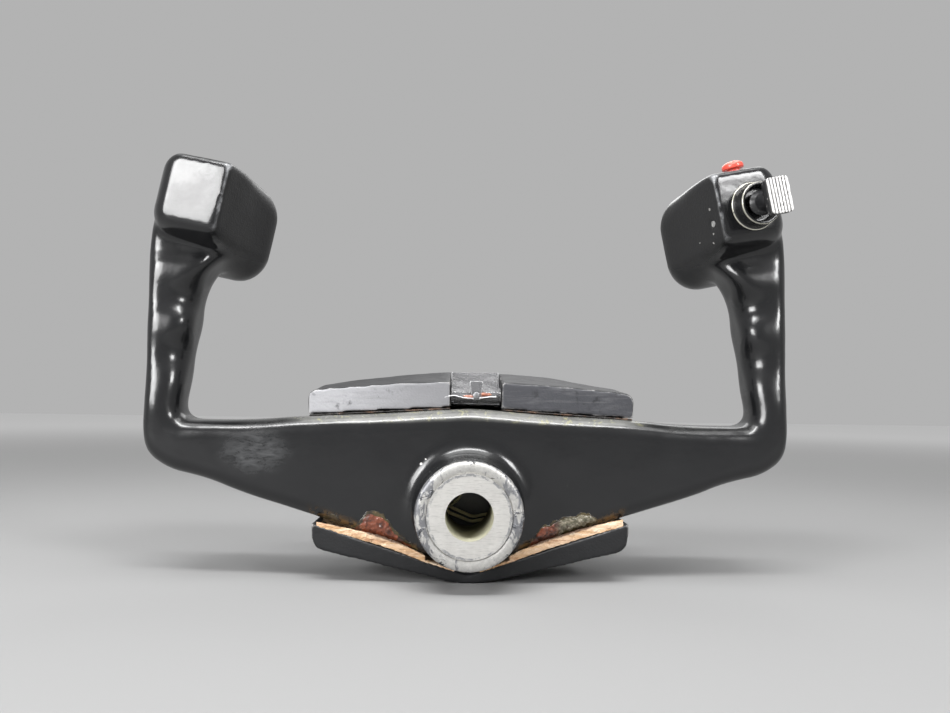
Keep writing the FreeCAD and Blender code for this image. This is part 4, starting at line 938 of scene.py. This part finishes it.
glue_film("glue_edge_left", -72, -24, -26, 2, lambda x, z: run_left(x, z) + 0.75, 0.30, 2.0, GLUE_EDGE)
glue_film("glue_edge_right", 25, 70, -24, 3, lambda x, z: run_right(x, z) + 0.55, 0.30, 5.0, GLUE_EDGE)
glue_film("glue_run_left", -72, -26, -26, 0, run_left, 0.75, 2.0, AMBER)
glue_film("glue_run_right", 26, 70, -24, 3, run_right, 0.9, 5.0, AMBER)
glue_film("glue_run_end", -73, -58, -14, 2, run_end, 0.4, 7.0, GLUE_EDGE)


def skirt_height(x):
    """Height of the wavy lower edge of the plastic below the clip, x in mm."""
    return 53.6 + dome(x, -8.0, 4.0, 1.3) + dome(x, 12.0, 5.0, 0.9)


# Columns and rows of the skirt's sheet, and in mm its left end, width, top and depth at the top
SKIRT_COLUMNS = 60
SKIRT_ROWS = 5
SKIRT_LEFT = -12.6
SKIRT_WIDTH = 26.4
SKIRT_TOP = 55.6
SKIRT_DEPTH = 42.4
SKIRT_THICKNESS = 0.55 * MM


def clip_skirt():
    """Wavy sheet of clear plastic that hangs forward below the clip."""
    work = bmesh.new()
    columns = []
    for i in range(SKIRT_COLUMNS + 1):
        x = SKIRT_LEFT + SKIRT_WIDTH * i / SKIRT_COLUMNS
        low = skirt_height(x) + 0.18 * noise.noise(Vector((x / 1.2, 3.0, 0)))
        rows = []
        for k in range(SKIRT_ROWS + 1):
            share = k / SKIRT_ROWS
            z = SKIRT_TOP + (low - SKIRT_TOP) * share
            y = SKIRT_DEPTH - 2.3 * share**1.6 + 0.12 * noise.noise(Vector((x / 1.6, share * 3, 5.0)))
            rows.append(work.verts.new((x * MM, y * MM, z * MM)))
        columns.append(rows)
    for a, b in zip(columns, columns[1:]):
        for k in range(SKIRT_ROWS):
            work.faces.new((a[k], b[k], b[k + 1], a[k + 1]))
    piece = new_piece("clip_skirt", finished(work, "clip_skirt"), FINISHES["clear_plastic"])
    thicken(piece, SKIRT_THICKNESS)
    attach(piece, "wheel")


def glue_lump(name, place, half, material, seed):
    """A lump of hard glue with half sizes in mm."""
    work = bmesh.new()
    bmesh.ops.create_icosphere(work, subdivisions=4, radius=1.0)
    for vert in work.verts:
        swell = 1 + 0.35 * noise.noise(vert.co * 1.7 + Vector((seed, 0, 0))) + 0.12 * noise.noise(vert.co * 5)
        point = vert.co * swell
        vert.co = [(p + c * h) * MM for p, c, h in zip(place, point, half)]
    mesh = finished(work, name)
    for polygon in mesh.polygons:
        polygon.use_smooth = True
    piece = new_piece(name, mesh, material)
    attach(piece, "wheel")


clip_skirt()
glue_lump("notch_glue_a", (1.9, 41.6, 54.6), (5.4, 1.5, 1.05), ORANGE_GLUE, 1.0)
glue_lump("notch_glue_b", (6.6, 41.9, 55.8), (4.2, 1.2, 1.15), ORANGE_GLUE, 4.0)


# Floor, light and camera
def seen_rays(tree):
    """1 for rays from the camera, and for those that carry on by reflection or through clear parts."""
    rays = tree.nodes.new("ShaderNodeLightPath").outputs
    share = rays["Is Camera Ray"]
    for kind in ("Is Glossy Ray", "Is Transmission Ray"):
        larger = tree.nodes.new("ShaderNodeMath")
        larger.operation = "MAXIMUM"
        tree.links.new(share, larger.inputs[0])
        tree.links.new(rays[kind], larger.inputs[1])
        share = larger.outputs[0]
    return share


FLOOR_SIZE = 6.0
FLOOR_GLOW = 0.36
floor_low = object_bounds()[0].z
bpy.ops.mesh.primitive_plane_add(size=FLOOR_SIZE, location=(0, 0, floor_low))
floor = bpy.context.object
floor.name = "floor"
ground = Finish("floor")
ground.set("Base Color", ground.mix(ground.noise(0.4, 2.0), (0.265, 0.265, 0.265), (0.285, 0.285, 0.285)))
ground.set("Roughness", 0.85)
away = ground.step(ground.vector("LENGTH", ground.point), 0.55, 2.2)
glow = ground.both(away, seen_rays(ground.material.node_tree))
ground.set("Emission Color", (1.0, 1.0, 1.0, 1.0))
ground.set("Emission Strength", ground.both(glow, FLOOR_GLOW))
floor.data.materials.append(ground.material)

# The sky lights the wheel less than it shows
SKY_LIGHT = 0.25
SKY_SHOWN = 0.45
world = bpy.data.worlds.new("studio")
bpy.context.scene.world = world
world.use_nodes = True
sky = world.node_tree.nodes["Background"]
strength = world.node_tree.nodes.new("ShaderNodeMapRange")
strength.inputs["To Min"].default_value = SKY_LIGHT
strength.inputs["To Max"].default_value = SKY_SHOWN
world.node_tree.links.new(seen_rays(world.node_tree), strength.inputs["Value"])
world.node_tree.links.new(strength.outputs["Result"], sky.inputs["Strength"])
sky.inputs["Color"].default_value = (1, 1, 1, 1)


def area_light(name, place, aim, width, height, brightness):
    """A white panel with the given radiance."""
    data = bpy.data.lights.new(name, "AREA")
    data.shape = "RECTANGLE"
    data.size = width
    data.size_y = height
    data.energy = brightness * math.pi * width * height
    lamp = bpy.data.objects.new(name, data)
    lamp.location = place
    lamp.rotation_euler = (Vector(aim) - Vector(place)).to_track_quat("-Z", "Y").to_euler()
    bpy.context.scene.collection.objects.link(lamp)


# What the left and right lamps shine on
LEFT_HEAD = (-0.134, 0.025, 0.155)
RIGHT_HEAD = (0.13, 0.025, 0.16)
area_light("ceiling", (-0.03, -0.20, 1.10), (-0.03, 0.02, 0.05), 1.10, 0.85, 3.4)
area_light("strip", (-0.05, -0.44, 1.08), (0, 0.03, 0.05), 0.90, 0.15, 25.0)
area_light("softbox_left", (-0.85, -0.80, 0.44), LEFT_HEAD, 0.60, 0.50, 15.0)
area_light("window_left", (-0.80, -0.71, 0.50), LEFT_HEAD, 0.26, 0.17, 9.0)
area_light("softbox_right", (0.84, -0.84, 0.63), RIGHT_HEAD, 0.35, 0.30, 25.0)
area_light("behind", (0.25, 0.95, 0.75), (0, 0.03, 0.08), 0.70, 0.50, 2.0)

# The photo's camera
CAMERA_PLACE = (-0.009168, -0.357292, 0.053839)
YAW, PITCH, ROLL = (math.radians(a) for a in (1.701, 3.085, 0.829))
FOCAL_PX = 780.0
PHOTO_WIDTH_PX = 950
SENSOR_WIDTH = 36.0
ahead = Vector((math.sin(YAW) * math.cos(PITCH), math.cos(YAW) * math.cos(PITCH), math.sin(PITCH)))
level_right = Vector((math.cos(YAW), -math.sin(YAW), 0))
level_up = level_right.cross(ahead)
turned_right = level_right * math.cos(ROLL) + level_up * math.sin(ROLL)
turned_up = level_up * math.cos(ROLL) - level_right * math.sin(ROLL)
lens = bpy.data.cameras.new("camera")
lens.sensor_width = SENSOR_WIDTH
lens.sensor_fit = "HORIZONTAL"
lens.lens = FOCAL_PX / PHOTO_WIDTH_PX * SENSOR_WIDTH
lens.clip_start = 0.01
lens.clip_end = 20
camera = bpy.data.objects.new("camera", lens)
camera.matrix_world = Matrix.Translation(CAMERA_PLACE) @ (
    Matrix((turned_right, turned_up, -ahead)).transposed().to_4x4()
)
bpy.context.scene.collection.objects.link(camera)
bpy.context.scene.camera = camera
bpy.context.scene.view_settings.view_transform = "Standard"
